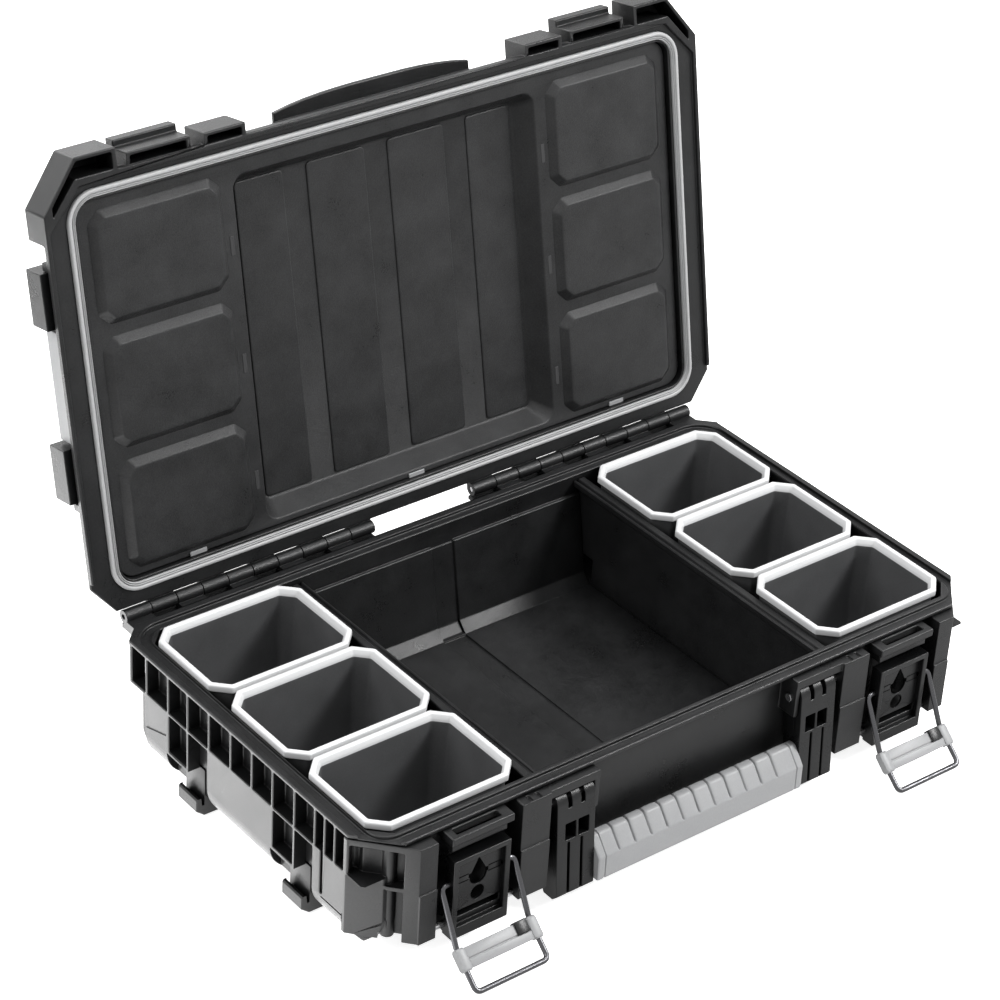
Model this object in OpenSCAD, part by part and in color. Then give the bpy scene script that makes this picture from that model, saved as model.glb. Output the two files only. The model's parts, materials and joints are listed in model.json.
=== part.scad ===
// Hard tool case with a hinged lid, two over-centre latches, a front carrying
// handle, six lift-out bins and a clipped lid liner. Millimetres, +Z up, +X to
// the right, front towards -Y. The origin is on the floor under the middle of
// the case. The lid is drawn open, as it stands by itself against its stop.

/* [Case] */
// Half width of the base rim
base_half = 268; // [264:1:272]
// Front edge of the base rim, measured forward from the middle
rim_front = 149.5; // [146:0.5:153]
// Rear edge of the base rim, measured back from the middle
rim_back = 149.5; // [147:0.5:152]
// Height of the base rim above the floor
rim_z = 103; // [96:1:112]
// Total height with the lid closed
case_h = 130; // [128:1:140]
// Wall of the base tub
wall = 3; // [2:0.5:4]
// Width of the rim flange outside the tub wall
flange = 10; // [8:1:12]
// Thickness of the rim flange
flange_t = 3; // [3:0.5:5]
// Height of the tub's underside above the floor
tub_z = 12; // [8:1:16]
// Radius of the tub's bottom edges
tub_r = 25; // [16:1:30]

/* [Lid] */
// How far the lid stands out beyond the base rim at each side
lid_over = 12; // [10:1:16]
// Opening angle of the lid at its stop
lid_open = 101; // [90:1:110]
// Wall of the lid
lid_wall = 3; // [2:0.5:4]
// How far the skirt of the lid reaches below the rim
skirt_drop = 3; // [2:0.5:4]
// Gap between the closed lid and the base rim
seal_gap = 0.4; // [0.3:0.1:0.8]
// Room between the well of the liner and the inside of the lid
well_room = 0.8; // [0.5:0.1:3]

/* [Hinge] */
// Distance of the hinge axis behind the middle
hinge_y = 160; // [158:0.5:164]
// Radius of the hinge knuckles
knuckle_r = 5; // [4.5:0.25:5.5]
// Radius of the hinge rod
rod_r = 2; // [1.5:0.25:2.5]
// Running clearance of every rod and pin, on the radius
pin_gap = 0.06; // [0.04:0.01:0.1]

/* [Bins] */
// Width of a bin over its rim
bin_w = 118.5; // [112:0.5:120]
// Depth of a bin over its rim
bin_d = 85.9; // [80:0.1:87]
// Distance between the bins' centres
bin_pitch = 89.5; // [88:0.5:90]
// Room between the bins' rims and the tub's side wall
bin_side = 1.25; // [1:0.25:3]
// Height of the bins' rims above the base rim
bin_proud = 3.2; // [2:0.1:4]
// Width of the bins' rolled rim
bin_rim = 5.8; // [4:0.1:7]
// Cut at the corners of the bins
bin_cut = 12; // [8:0.5:16]
// Wall of a bin
bin_wall = 1.8; // [1.2:0.1:2.5]

/* [Latches] */
// Distance of the latches' middles from the ends of the base rim
latch_inset = 80; // [78:0.5:84]
// Width of the recess for a latch
latch_gap_w = 68; // [66:0.5:70]
// Width of the lever plate
lever_w = 46; // [42:0.5:50]
// Height of the top of the lever plate
lever_top = 80; // [76:1:84]
// Height of the lever's hinge pin
lever_pin_z = 24; // [20:1:30]
// Height of the bail's pivot in the lever
bail_z = 60; // [52:1:66]
// Thickness of the bail wire
bail_wire = 4; // [3:0.25:4.5]

/* [Handle] */
// Height of the handle's pivot
handle_z = 83; // [80:0.5:84]
// Room between the handle arms and the front bumpers
arm_side = 6; // [4:0.5:8]
// Width of a handle arm
arm_w = 32; // [28:1:34]
// Radius of the handle's knuckles
arm_r = 8.5; // [7:0.25:8.75]
// Radius of the handle pins
handle_pin_r = 3; // [2:0.25:4]

/* [Stacking] */
// Rear pair of stacking hooks, behind the middle
cleat_back = 49; // [40:1:56]
// Front pair of stacking hooks, in front of the middle
cleat_front = 76.5; // [68:0.5:82]
// Length of a stacking hook
cleat_len = 23; // [18:1:28]

/* [Hidden] */

$fn = 32;
eps = 0.01;
// Clearance between pieces that move past each other
run = 0.4;
// Feet
foot_x = base_half - 68;
foot_front = 116;
foot_back = 110;
foot_r = 11;
// Tub
tub_half = base_half - flange;
tub_in = tub_half - wall;
tub_front = rim_front - 10;
tub_back = rim_back - 11.5;
front_in = tub_front - wall;
back_in = tub_back - wall;
floor_z = tub_z + wall;
ledge_z = rim_z - 16;
// Middle of the floor: channel, rear bevel and rear ledge
channel_half = 10;
channel_t = 1.5;
bevel = 8;
bevel_in = 14;
bin_x = tub_in - bin_side - bin_w / 2;
bevel_half = bin_x - bin_w / 2 - 6.25;
ledge_t = 2.5;
// Corner cuts of the rim, as [across, along]
rim_cut_front = [26, 28];
rim_cut_back = [14, 14];
tub_cut = 14;
tub_in_cut = tub_cut - wall * (2 - sqrt(2));
// Gasket ring and the groove it closes on
gasket_half = base_half - 5.4;
gasket_w = 5.8;
gasket_front = rim_front - 3;
gasket_back = rim_back - 6.1;
gasket_r = 22;
gasket_drop = 1.9;
groove_gap = 0.6;
groove_d = gasket_drop + groove_gap;
// Hinge
hinge_z = rim_z + 1.5;
knuckle_gap = 0.5;
hinge_in = 45;
hinge_out = base_half - 11;
knuckles = 10;
knuckle_len = (hinge_out - hinge_in) / knuckles;
rod_end = 1.5;
// Side ribs
rib_t = 2.4;
rib_pitch = 25.3;
rail_z = rim_z - 34;
pocket_z = tub_z + 27;
// Places of the upright ribs, behind (+) and in front (-) of the middle
ribs = [-109, -87, -64, -39, -15, 10, 36, 62, 86, 113];
rail_back = rim_back - rim_cut_back.y - 0.5;
slot_y = -95.5;
slot_w = 2.5;
rear_line_tilt = 17;
bump_top = rim_z - skirt_drop - 0.8;
bump_low = 22;
bump_y = rim_front + 8;
// Latch zone
latch_x = base_half - latch_inset;
recess_in = latch_x - latch_gap_w / 2;
recess_out = latch_x + latch_gap_w / 2;
bump_in = recess_in - 24;
corner_flat = recess_out + 14;
step_z = bump_low + 40;
step_t = 1;
post_r = 4.7;
pocket_d = 8.5;
lever_t = 10;
lever_front = rim_front + 11.5;
lever_back = lever_front - lever_t;
lever_low = 16;
tray_d = 4;
lock_hole_z = 58;
lever_pin_y = lever_back;
lever_pin_r = 2.5;
lever_knuckle = 6;
bail_y = lever_front - 5;
bail_r = bail_wire / 2;
bail_half = lever_w / 2 + 6.5;
bail_bend = [-bail_y - 19, bail_z - 38];
bail_tip = [bail_bend.x - 23, bail_r];
bail_hook = 9;
bend_r = 4.5;
knee_r = 8;
leg_run = [bail_y + bail_bend.x, bail_z - bail_bend.y];
tip_run = [bail_tip.x - bail_bend.x, bail_bend.y - bail_tip.y];
leg_tilt = atan2(-leg_run.x, leg_run.y);
knee_turn = atan2(-tip_run.x, tip_run.y) - leg_tilt;
leg_len = norm(leg_run);
tip_len = norm(tip_run);
knee_cut = knee_r * tan(knee_turn / 2);
tab_t = 5;
tab_h = 19;
// Handle
handle_y = tub_front + arm_r + 0.5;
arm_low = 8;
arm_tip = rim_front + 12.5;
arm_out = bump_in - arm_side;
arm_in = arm_out - arm_w;
grip_front = arm_tip + 4;
grip_back = tub_front + 7;
grip_low = 14;
grip_high = 46;
lug_t = 4;
// Lid
lid_half = base_half + lid_over;
lid_z = rim_z + seal_gap;
lid_h = case_h - lid_z;
lid_front = rim_front + 6;
lid_back = hinge_y - knuckle_r - 1;
lid_cut_front = [27, 30];
lid_cut_back = [18, 22];
skirt_in = lid_half - 3;
skirt_front = rim_front + 1.2;
gasket_land = 2.4;
flange_h = 2;
body_in = 10;
crown_half = lid_half - 18;
crown_front = lid_front - 8;
crown_back = lid_back - 8;
crown_cut = [24, 26];
liner_z = rim_z + 5;
liner_t = 2.2;
well_depth = case_h - lid_wall - liner_z - liner_t - well_room;
liner_half = gasket_half - gasket_w - gasket_land;
liner_front = gasket_front - gasket_w - gasket_land;
liner_back = gasket_back - gasket_w - gasket_land;
liner_clear = 0.3;
liner_r = gasket_r - 10;
liner_seat = 3.2;
line_half = 10;
line_t = 1.1;
pad_rise = 5;
pad_clear = 0.4;
pad_w = bin_w - 21;
well_half = bin_x - pad_w / 2 - 15.75;
line_x = well_half - 60.5;
well_front = 126;
well_back = 130;
well_slope = 9;
well_slope_back = 13;
bumper_front = rim_front + 21.5;
bumper_h = lid_h - 0.6;
visor_half = 84;
visor_rise = lid_h - 9.6;
visor_t = 4;
visor_out = 8;
catch_h = lid_h - 1.6;
catch_half = 25;
lock_mid = (cleat_back - cleat_front) / 2;
nose_half = 20;
cleat_shift = 17.5;
lock_half = (cleat_back + cleat_front) / 2 + nose_half;
lock_back = lid_half - 16;
lock_pin_x = lock_back + 4;
lock_rise = 5;
lock_pin_z = lid_z + flange_h + lock_rise;
lock_pin_r = 1.5;
lock_gap = 1.2;
lock_face = lock_back + 9;
ear_t = 6;
grip_half = 40;
bin_top = rim_z + bin_proud;
bin_gap = 0.6;
bin_z = floor_z + bin_gap;
bin_lip = 2.4;
bin_draft = 4;
bin_slope = 13;
bin_mouth = bin_d - 2 * bin_rim;
pad_d = bin_mouth - 2 * pad_clear + 2 * (liner_z - bin_top);
black = "#2b2c2e";
dark = "#202123";
grey = "#b9bbbd";
steel = "#4a4c4f";

// ---------- shapes shared by the pieces ----------

// Outline between a front and a back edge, with cut corners given as [across, along]
module plan(half, front, back, cut_f, cut_b) {
    polygon([[-half + cut_f.x, -front], [half - cut_f.x, -front], [half, -front + cut_f.y],
        [half, back - cut_b.y], [half - cut_b.x, back], [-half + cut_b.x, back],
        [-half, back - cut_b.y], [-half, -front + cut_f.y]]);
}

// Rectangle with round corners, between two opposite corner points
module round_rect(x0, y0, x1, y1, r) {
    translate([x0 + r, y0]) square([x1 - x0 - 2 * r, y1 - y0]);
    translate([x0, y0 + r]) square([x1 - x0, y1 - y0 - 2 * r]);
    for (x = [x0 + r, x1 - r], y = [y0 + r, y1 - r]) translate([x, y]) circle(r);
}

// Rectangle about a centre with all four corners cut
module cut_rect(w, d, c) {
    polygon([[-w/2 + c, -d/2], [w/2 - c, -d/2], [w/2, -d/2 + c], [w/2, d/2 - c],
        [w/2 - c, d/2], [-w/2 + c, d/2], [-w/2, d/2 - c], [-w/2, -d/2 + c]]);
}

// Plain block between two corners
module block(a, b) {
    translate(a) cube(b - a);
}

// Solid between two outlines at two heights, each a cut rectangle
module frustum(w0, d0, c0, z0, w1, d1, c1, z1) {
    hull() {
        translate([0, 0, z0]) linear_extrude(eps) cut_rect(w0, d0, c0);
        translate([0, 0, z1 - eps]) linear_extrude(eps) cut_rect(w1, d1, c1);
    }
}

// Bar along X with its axis at (y, z)
module rod_x(x0, x1, y, z, r) {
    translate([x0, y, z]) rotate([0, 90, 0]) cylinder(h = x1 - x0, r = r);
}

// Copies a piece of the left half to the right half
module right_side() {
    mirror([1, 0, 0]) children();
}

// Turns a piece that is drawn with the lid closed to where the open lid holds it
module on_open_lid() {
    translate([0, hinge_y, hinge_z]) rotate([-lid_open, 0, 0])
        translate([0, -hinge_y, -hinge_z]) children();
}

// ---------- base ----------

// Tub form with cut upright corners and round bottom edges
module tub_form(half, front, back, low, high, r, cut, front_r) {
    intersection() {
        translate([0, 0, low]) linear_extrude(high - low)
            plan(half, front, back, [cut, cut], [cut, cut]);
        translate([0, back, 0]) rotate([90, 0, 0]) linear_extrude(front + back)
            round_rect(-half, low, half, high + 2 * r, r);
        translate([-half, 0, 0]) rotate([90, 0, 90]) linear_extrude(2 * half)
            round_rect(-front, low, back, high + 2 * front_r, front_r);
    }
}

// Knuckle of the hinge with its web to a shell, between two places along X
module knuckle(x0, x1, web_low, web_high, web_y) {
    rod_x(x0, x1, hinge_y, hinge_z, knuckle_r);
    block([x0, web_y, web_low], [x1, hinge_y, web_high]);
}

// Outline of the thick left wall below the rail, with the tub's round bottom edge
module side_form() {
    intersection() {
        tub_form(base_half, tub_front, tub_back, tub_z, rail_z + rib_t, tub_r, 2, tub_r);
        block([-base_half, -tub_front, tub_z], [-tub_half + 2 * tub_r, rail_back, rail_z + rib_t]);
    }
}

// Thick left wall with pockets over the hooks and shallow lines in its face
module side_wall() {
    difference() {
        side_form();
        // pockets between the ribs over each hook
        for (i = [1, 2, 6, 7])
            block([-base_half - 1, ribs[i] + rib_t, pocket_z], [-tub_half + eps, ribs[i + 1], rail_z]);
        // line in the face of the rear part
        translate([-base_half - 1, rail_back + 1, pocket_z - 3]) rotate([-rear_line_tilt, 0, 0])
            block([0, -rail_back + ribs[8], 0], [1.8, 1, 1.4]);
        // slot between the ribs and the corner block
        block([-base_half - 1, slot_y, tub_z + tub_r], [-tub_half + eps, slot_y + slot_w, rim_z]);
        // line that ends the corner block above the round bottom edge
        block([-base_half - 1, -tub_front - 1, pocket_z - 5], [-base_half + 1, slot_y + 1, pocket_z - 3.8]);
    }
}

// Rail and upright ribs on the left side, under the flange
module side_ribs() {
    for (y = [for (i = [1 : len(ribs) - 1]) ribs[i], rail_back - rib_t, slot_y - rib_t, ribs[0]])
        block([-base_half, y, rail_z + rib_t - eps], [-tub_half + wall / 2, y + rib_t, rim_z - 1]);
}

// Hollow bumper between two places along X on the front, open below
module front_bump(x0, x1) {
    difference() {
        union() {
            block([x0, -bump_y, bump_low], [x1, -tub_front + wall / 2, bump_top]);
            block([x0, -bump_y - step_t, bump_low], [x1, -bump_y + wall, step_z]);
        }
        block([x0 + wall, -bump_y + wall, bump_low - 1],
            [x1 - wall, -tub_front - eps, bump_top - wall]);
        // square socket in the top
        block([(x0 + x1) / 2 - 5, -bump_y + 1.5, bump_top - 1.5], [(x0 + x1) / 2 + 5, -rim_front - 1, bump_top + 1]);
    }
    block([(x0 + x1) / 2 - 2.5, -bump_y + 1.5, bump_top - 2], [(x0 + x1) / 2 + 2.5, -rim_front - 1, bump_top]);
}

// Frame of the cut face of the left front corner: X runs along it towards the front
module on_corner_face() {
    translate([-base_half, -rim_front + rim_cut_front.y, 0])
        rotate([0, 0, -atan2(bump_y - rim_front + rim_cut_front.y, base_half - corner_flat)])
            children();
}

// Left front corner block, with the pocket, the channel and the post in its cut face
module corner_block() {
    face = norm([bump_y - rim_front + rim_cut_front.y, base_half - corner_flat]);
    post = face * 0.55;
    difference() {
        union() {
            translate([0, 0, bump_low]) linear_extrude(bump_top - bump_low)
                polygon([[-recess_out, -bump_y], [-corner_flat, -bump_y],
                    [-base_half, -rim_front + rim_cut_front.y], [-base_half, ribs[0] - 9],
                    [-tub_half + wall / 2, ribs[0] - 9], [-tub_half + wall / 2, -tub_front + tub_cut],
                    [-tub_half + tub_cut + 1, -tub_front + wall / 2],
                    [-recess_out, -tub_front + wall / 2]]);
            block([-corner_flat, -bump_y - step_t, bump_low], [-recess_out, -bump_y + wall, step_z]);
        }
        on_corner_face() {
            block([2, -2, step_z + 4], [face * 0.78, pocket_d, bump_top - 5]);
            block([face * 0.45, -2, bump_low - 1], [face * 0.78, pocket_d, step_z + 1]);
        }
        // hollow from below
        block([-recess_out - 12, -bump_y + wall, bump_low - 1],
            [-recess_out - wall, -tub_front - 2, bump_top - wall]);
    }
    on_corner_face() translate([post, pocket_d - 1, bump_low]) cylinder(h = bump_top - bump_low - 2, r = post_r);
}

// Left latch recess: bridge over the lever with its slot
module latch_bridge() {
    x0 = -latch_x - lever_w / 2 - 2;
    x1 = -latch_x + lever_w / 2 + 2;
    difference() {
        block([x0, -bump_y - 3, bump_top - 6], [x1, -tub_front + 1, bump_top]);
        block([x0 + 6, -bump_y + 1, bump_top - 7], [x1 - 8, -rim_front - 1, bump_top + 1]);
    }
    // lower bar and the webs at the ends
    block([x0 + 3, -bump_y + 1, bump_top - 14], [x1 - 3, -tub_front + 1, bump_top - 9]);
    for (x = [x0 + 3, x1 - 3 - wall])
        block([x, -bump_y + 2, bump_top - 10], [x + wall, -tub_front + 1, bump_top - 5]);
}

// Lug that holds the inner end of the left handle pin, and the hood over the arm
module handle_mount() {
    inner = -arm_in + run;
    difference() {
        union() {
            block([inner, -handle_y - arm_r + 2, handle_z - 14],
                [inner + lug_t, -tub_front + 1, bump_top]);
            block([-bump_in - 1, -bump_y + 2, handle_z + arm_r + 3 * run],
                [inner + lug_t, -tub_front + 1, bump_top]);
        }
        rod_x(-arm_out - 10, inner + lug_t + 1, -handle_y, handle_z, handle_pin_r);
    }
}

module base_left() {
    side_ribs();
    corner_block();
    latch_bridge();
    handle_mount();
}

module base_shell() color(black) difference() {
    union() {
        difference() {
            union() {
                tub_form(tub_half, tub_front, tub_back, tub_z, rim_z - 1, tub_r, tub_cut, tub_r);
                side_wall();
                right_side() side_wall();
                translate([0, 0, rim_z - flange_t]) linear_extrude(flange_t)
                    plan(base_half, rim_front, rim_back, rim_cut_front, rim_cut_back);
            }
            // floor channel, and the room inside the tub
            block([-channel_half, -front_in + tub_r, floor_z - channel_t],
                [channel_half, back_in - tub_r + wall, floor_z + 1]);
            tub_form(tub_in, front_in, back_in, floor_z, rim_z + 1, tub_r - wall, tub_in_cut, tub_r - wall);
        }
        base_left();
        right_side() base_left();
        front_bump(-recess_in, -bump_in);
        front_bump(bump_in, recess_in);
        // rear carrier of the hinge
        for (s = [0, 1]) mirror([s, 0, 0]) for (i = [0 : 2 : knuckles - 1])
            knuckle(-hinge_out + i * knuckle_len, -hinge_out + (i + 1) * knuckle_len - knuckle_gap,
                rim_z - 8, rim_z - 0.5, rim_back - 12);
        // shelf behind the rim under the lid's knuckles
        for (s = [0, 1]) mirror([s, 0, 0])
            block([-hinge_out, rim_back - 12, rim_z - 8], [-hinge_in, hinge_y + 2.5, hinge_z - knuckle_r - 1]);
        // rear wall of the middle: bevel at the floor, sloping face and ledge
        for (x = [[-bevel_half, -channel_half, 0], [-channel_half, channel_half, channel_t],
                [channel_half, bevel_half, 0]])
            translate([x[0], x[2], -x[2]]) rotate([90, 0, 90]) linear_extrude(x[1] - x[0])
                polygon([[back_in - bevel_in - bevel, floor_z], [back_in - bevel_in - bevel, tub_z + 1],
                    [back_in + 1, tub_z + tub_r], [back_in + 1, ledge_z], [back_in - ledge_t, ledge_z],
                    [back_in - bevel_in, floor_z + bevel]]);
        // pad under the middle, at the floor
        translate([0, 0, 0]) linear_extrude(tub_z + 1) cut_rect(60, 40, 8);
    }
    // groove for the gasket
    translate([0, 0, rim_z - groove_d]) linear_extrude(groove_d + 1) difference() {
        round_rect(-gasket_half - groove_gap, -gasket_front - groove_gap,
            gasket_half + groove_gap, gasket_back + groove_gap, gasket_r + groove_gap);
        round_rect(-gasket_half + gasket_w + groove_gap, -gasket_front + gasket_w + groove_gap,
            gasket_half - gasket_w - groove_gap, gasket_back - gasket_w - groove_gap,
            gasket_r - gasket_w - groove_gap);
    }
    // bores for the hinge rods, the lever pins and the outer ends of the handle pins
    for (s = [0, 1]) mirror([s, 0, 0]) {
        rod_x(-hinge_out - 1, -hinge_in + 1, hinge_y, hinge_z, rod_r);
        rod_x(-recess_out - 8, -recess_in + 8, -lever_pin_y, lever_pin_z, lever_pin_r);
        rod_x(-recess_in + 16, -bump_in + 1, -handle_y, handle_z, handle_pin_r);
    }
}

// Feet under the tub: two at the front below the latches, two at the back
module feet() color(dark) difference() {
    for (x = [-foot_x, foot_x], y = [-foot_front, foot_back])
        translate([x, y, 0]) cylinder(h = tub_z + foot_r, r = foot_r);
    tub_form(tub_half, tub_front, tub_back, tub_z, rim_z - 1, tub_r, tub_cut, tub_r);
}

// One hook under the left side, open to the outside for the lock of a case below
module stacking_hook(y) {
    x = -base_half;
    translate([0, y + cleat_len / 2, 0]) rotate([90, 0, 0]) linear_extrude(cleat_len)
        polygon([[x + 44, tub_z + 5], [x + 44, 6], [x + 38, 0], [x + 10, 0], [x + 4, 6],
            [x + 4, 14], [x + 8, 15], [x + 9.5, 8], [x + 15, 7], [x + 17, tub_z + 5]]);
}

module stacking_hooks() color(dark) {
    difference() {
        for (s = [0, 1]) mirror([s, 0, 0]) for (y = [cleat_back, -cleat_front])
            stacking_hook(y + cleat_shift);
        tub_form(tub_half, tub_front, tub_back, tub_z, rim_z - 1, tub_r, tub_cut, tub_r);
        side_form();
        right_side() side_form();
    }
}

// Panel between the bins and the middle of the case, seated between floor and rim
module divider_left() color(black) {
    x = -bin_x + bin_w / 2 + 2.5;
    difference() {
        union() {
            block([x, -front_in + 0.2, floor_z + tub_r - wall],
                [x + wall, back_in - 0.2, rim_z - 4]);
            block([x, -front_in + tub_r - wall, floor_z],
                [x + wall, back_in - tub_r + wall, rim_z - 4]);
            block([x - 1.5, -front_in + 0.2, rim_z - 9], [x + 9, back_in - 0.2, rim_z - 4]);
        }
        block([x + wall + 1.5, -front_in - 1, rim_z - 6], [x + 7, back_in + 1, rim_z]);
    }
}

module divider_right() right_side() divider_left();

// ---------- bins ----------

// Tapering body of a bin with a sloped foot; inset it is the room inside
module bin_form(inset, low) {
    w = bin_w - 2 * bin_lip - 2 * inset;
    d = bin_d - 2 * bin_lip - 2 * inset;
    knee = bin_z + bin_slope;
    frustum(w - 2 * bin_draft - 2 * bin_slope, d - 2 * bin_draft - 2 * bin_slope, bin_cut - 4,
        low, w - 2 * bin_draft, d - 2 * bin_draft, bin_cut - 2, knee + inset / 2);
    frustum(w - 2 * bin_draft, d - 2 * bin_draft, bin_cut - 2, knee + inset / 2 - eps,
        w, d, bin_cut - 1, bin_top - 4);
}

// Bin with a rolled rim, cut corners and walls that draw in towards the floor
module bin() {
    difference() {
        union() {
            translate([0, 0, bin_top - 5]) linear_extrude(5) cut_rect(bin_w, bin_d, bin_cut);
            bin_form(0, bin_z);
        }
        bin_form(bin_wall, bin_z + bin_wall);
        frustum(bin_w - 2 * bin_lip - 2 * bin_wall - 1, bin_d - 2 * bin_lip - 2 * bin_wall - 1,
            bin_cut - 2, bin_top - 8, bin_w - 2 * bin_rim, bin_mouth, bin_cut - 2, bin_top + eps);
    }
}

module bin_at(x, row) color(grey) translate([x, row * bin_pitch, 0]) bin();

module bin_left_rear() bin_at(-bin_x, 1);
module bin_left_middle() bin_at(-bin_x, 0);
module bin_left_front() bin_at(-bin_x, -1);
module bin_right_rear() bin_at(bin_x, 1);
module bin_right_middle() bin_at(bin_x, 0);
module bin_right_front() bin_at(bin_x, -1);

// ---------- hinge ----------

module hinge_rod_left() color("silver")
    rod_x(-hinge_out + rod_end, -hinge_in + knuckle_gap - rod_end, hinge_y, hinge_z, rod_r);

module hinge_rod_right() right_side() hinge_rod_left();

// ---------- lid, drawn closed ----------

// Hollow bumper on the front of the lid, open below
module lid_bumper(x0, x1, front, low, high) {
    difference() {
        block([x0, -front, low], [x1, -lid_front + body_in, high]);
        block([x0 + lid_wall, -front + lid_wall, low - 1],
            [x1 - lid_wall, -lid_front - eps, high - lid_wall]);
    }
}

// Left corner bumper with its cut corner, hollow from below outside the flange
module lid_corner_bumper() {
    inner = -recess_out + 0.5;
    difference() {
        translate([0, 0, lid_z - skirt_drop]) linear_extrude(bumper_h)
            polygon([[inner, -bumper_front], [-lid_half + 27, -bumper_front],
                [-lid_half, -bumper_front + 34], [-lid_half, -lid_front + 40],
                [-lid_half + body_in, -lid_front + 40], [inner, -lid_front + body_in]]);
        translate([0, 0, lid_z - skirt_drop - 1]) linear_extrude(bumper_h - lid_wall)
            polygon([[inner - lid_wall, -bumper_front + lid_wall],
                [-lid_half + 28, -bumper_front + lid_wall],
                [-lid_half + 7, -bumper_front + 30], [-lid_half + 7, -lid_front + 21],
                [-lid_half + 26, -lid_front - 1], [inner - lid_wall, -lid_front - 1]]);
    }
}

module lid_front_left() {
    lid_corner_bumper();
    // catch for the bail, with a lip over which the wire closes
    lid_bumper(-latch_x - catch_half, -latch_x + catch_half, rim_front + 15,
        lid_z - 1, lid_z + catch_h);
    block([-latch_x - catch_half, -rim_front - 20, lid_z + catch_h - 10],
        [-latch_x + catch_half, -rim_front - 12, lid_z + catch_h]);
    // bumper between catch and middle
    lid_bumper(-recess_in + 0.5, -bump_in + 10, rim_front + 14.5, lid_z - skirt_drop,
        lid_z + bumper_h - 4);
}

// Crown of the lid, narrowing upwards; inset it is the room inside
module crown(inset, low, high) {
    hull() {
        translate([0, 0, low]) linear_extrude(eps)
            plan(lid_half - inset, lid_front - inset, lid_back - inset,
                lid_cut_front, lid_cut_back);
        translate([0, 0, high - eps]) linear_extrude(eps)
            plan(crown_half - inset, crown_front - inset, crown_back - inset, crown_cut, crown_cut);
    }
}

module lid_body() {
    translate([0, 0, lid_z]) linear_extrude(flange_h + eps)
        plan(lid_half, lid_front, lid_back, lid_cut_front, lid_cut_back);
    crown(0, lid_z + flange_h, case_h);
}

// Skirt that reaches down outside the base rim, left off at the back
module lid_skirt() {
    translate([0, 0, lid_z - skirt_drop]) linear_extrude(skirt_drop + 1) intersection() {
        plan(lid_half, lid_front, lid_back, lid_cut_front, lid_cut_back);
        translate([-lid_half, -lid_front]) square([2 * lid_half, lid_front + rim_back - 22]);
    }
}

// Room for the liner's outline; inset it leaves the ledge behind the liner
module lid_room(inset, low, high) {
    translate([0, 0, low]) linear_extrude(high - low)
        round_rect(-liner_half + inset, -liner_front + inset, liner_half - inset,
            liner_back - inset, liner_r - inset);
}

// Visor over the middle of the front edge, and the raised panel on the crown
module lid_visor() {
    translate([0, 0, lid_z + visor_rise]) linear_extrude(visor_t)
        polygon([[-visor_half, -crown_front], for (i = [0 : 12]) let (u = i / 6 - 1)
            [u * visor_half, -lid_front - 2 - (visor_out - 2) * (1 - pow(abs(u), 3))],
            [visor_half, -crown_front]]);
}

// Room for the base rim inside the skirt and the bumpers
module rim_room() {
    translate([0, 0, lid_z - skirt_drop - 1]) linear_extrude(skirt_drop + 1)
        plan(skirt_in, skirt_front, rim_back, rim_cut_front - [0.5, 0.5], [1, 1]);
}

module lid_shell() color(black) on_open_lid() difference() {
    union() {
        lid_body();
        lid_skirt();
        lid_front_left();
        right_side() lid_front_left();
        lid_visor();
        for (s = [0, 1]) mirror([s, 0, 0]) lock_ears();
        for (s = [0, 1]) mirror([s, 0, 0]) for (i = [1 : 2 : knuckles - 1])
            knuckle(-hinge_out + i * knuckle_len, -hinge_out + (i + 1) * knuckle_len - knuckle_gap,
                lid_z + 1.5, lid_z + 6, lid_back - 6);
    }
    rim_room();
    // inside of the crown, above the ledge behind the liner
    lid_room(liner_seat, liner_z + liner_t - eps, liner_z + liner_t + 2);
    hull() {
        lid_room(0, liner_z + liner_t + 2 - eps, liner_z + liner_t + 2);
        translate([0, 0, case_h - lid_wall - eps]) linear_extrude(eps)
            plan(crown_half - 5, crown_front - 5, crown_back - 5, crown_cut, crown_cut);
    }
    // opening for the liner
    lid_room(0, lid_z - 1, liner_z + liner_t);
    // groove that holds the gasket
    translate([0, 0, lid_z - 1]) linear_extrude(1 + 2.6) gasket_ring(0);
    // bores for the rods
    for (s = [0, 1]) mirror([s, 0, 0])
        rod_x(-hinge_out - 1, -hinge_in + 1, hinge_y, hinge_z, rod_r + pin_gap);
    // bores for the pins of the stack locks, and room for the locks
    for (s = [0, 1]) mirror([s, 0, 0]) {
        lock_axis(lock_half + run + ear_t + 1)
            cylinder(h = 2 * (lock_half + run + ear_t + 1), r = lock_pin_r);
        block([-lid_half - 20, lock_mid - lock_half - run, lid_z + flange_h],
            [-lock_back, lock_mid + lock_half + run, case_h + 1]);
    }
}

module gasket_ring(gap) {
    difference() {
        round_rect(-gasket_half - gap, -gasket_front - gap, gasket_half + gap,
            gasket_back + gap, gasket_r + gap);
        round_rect(-gasket_half + gasket_w + gap, -gasket_front + gasket_w + gap,
            gasket_half - gasket_w - gap, gasket_back - gasket_w - gap, gasket_r - gasket_w - gap);
    }
}

module lid_gasket() color(grey) on_open_lid()
    translate([0, 0, rim_z - gasket_drop]) linear_extrude(lid_z + 2.6 - rim_z + gasket_drop)
        gasket_ring(0);

// Pads that close over the bins; inset and lifted they are the hollows behind them
module liner_pads(inset, lift) {
    for (x = [-bin_x, bin_x], row = [-1 : 1]) translate([x, row * bin_pitch, 0])
        frustum(pad_w - 2 * pad_rise - 2 * inset, pad_d - 2 * pad_rise - 2 * inset, 7 - inset,
            liner_z - pad_rise + inset, pad_w - 2 * inset + 2 * lift,
            pad_d - 2 * inset + 2 * lift, 10 - inset, liner_z + (inset > 0 ? liner_t : 0) + lift);
}

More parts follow.
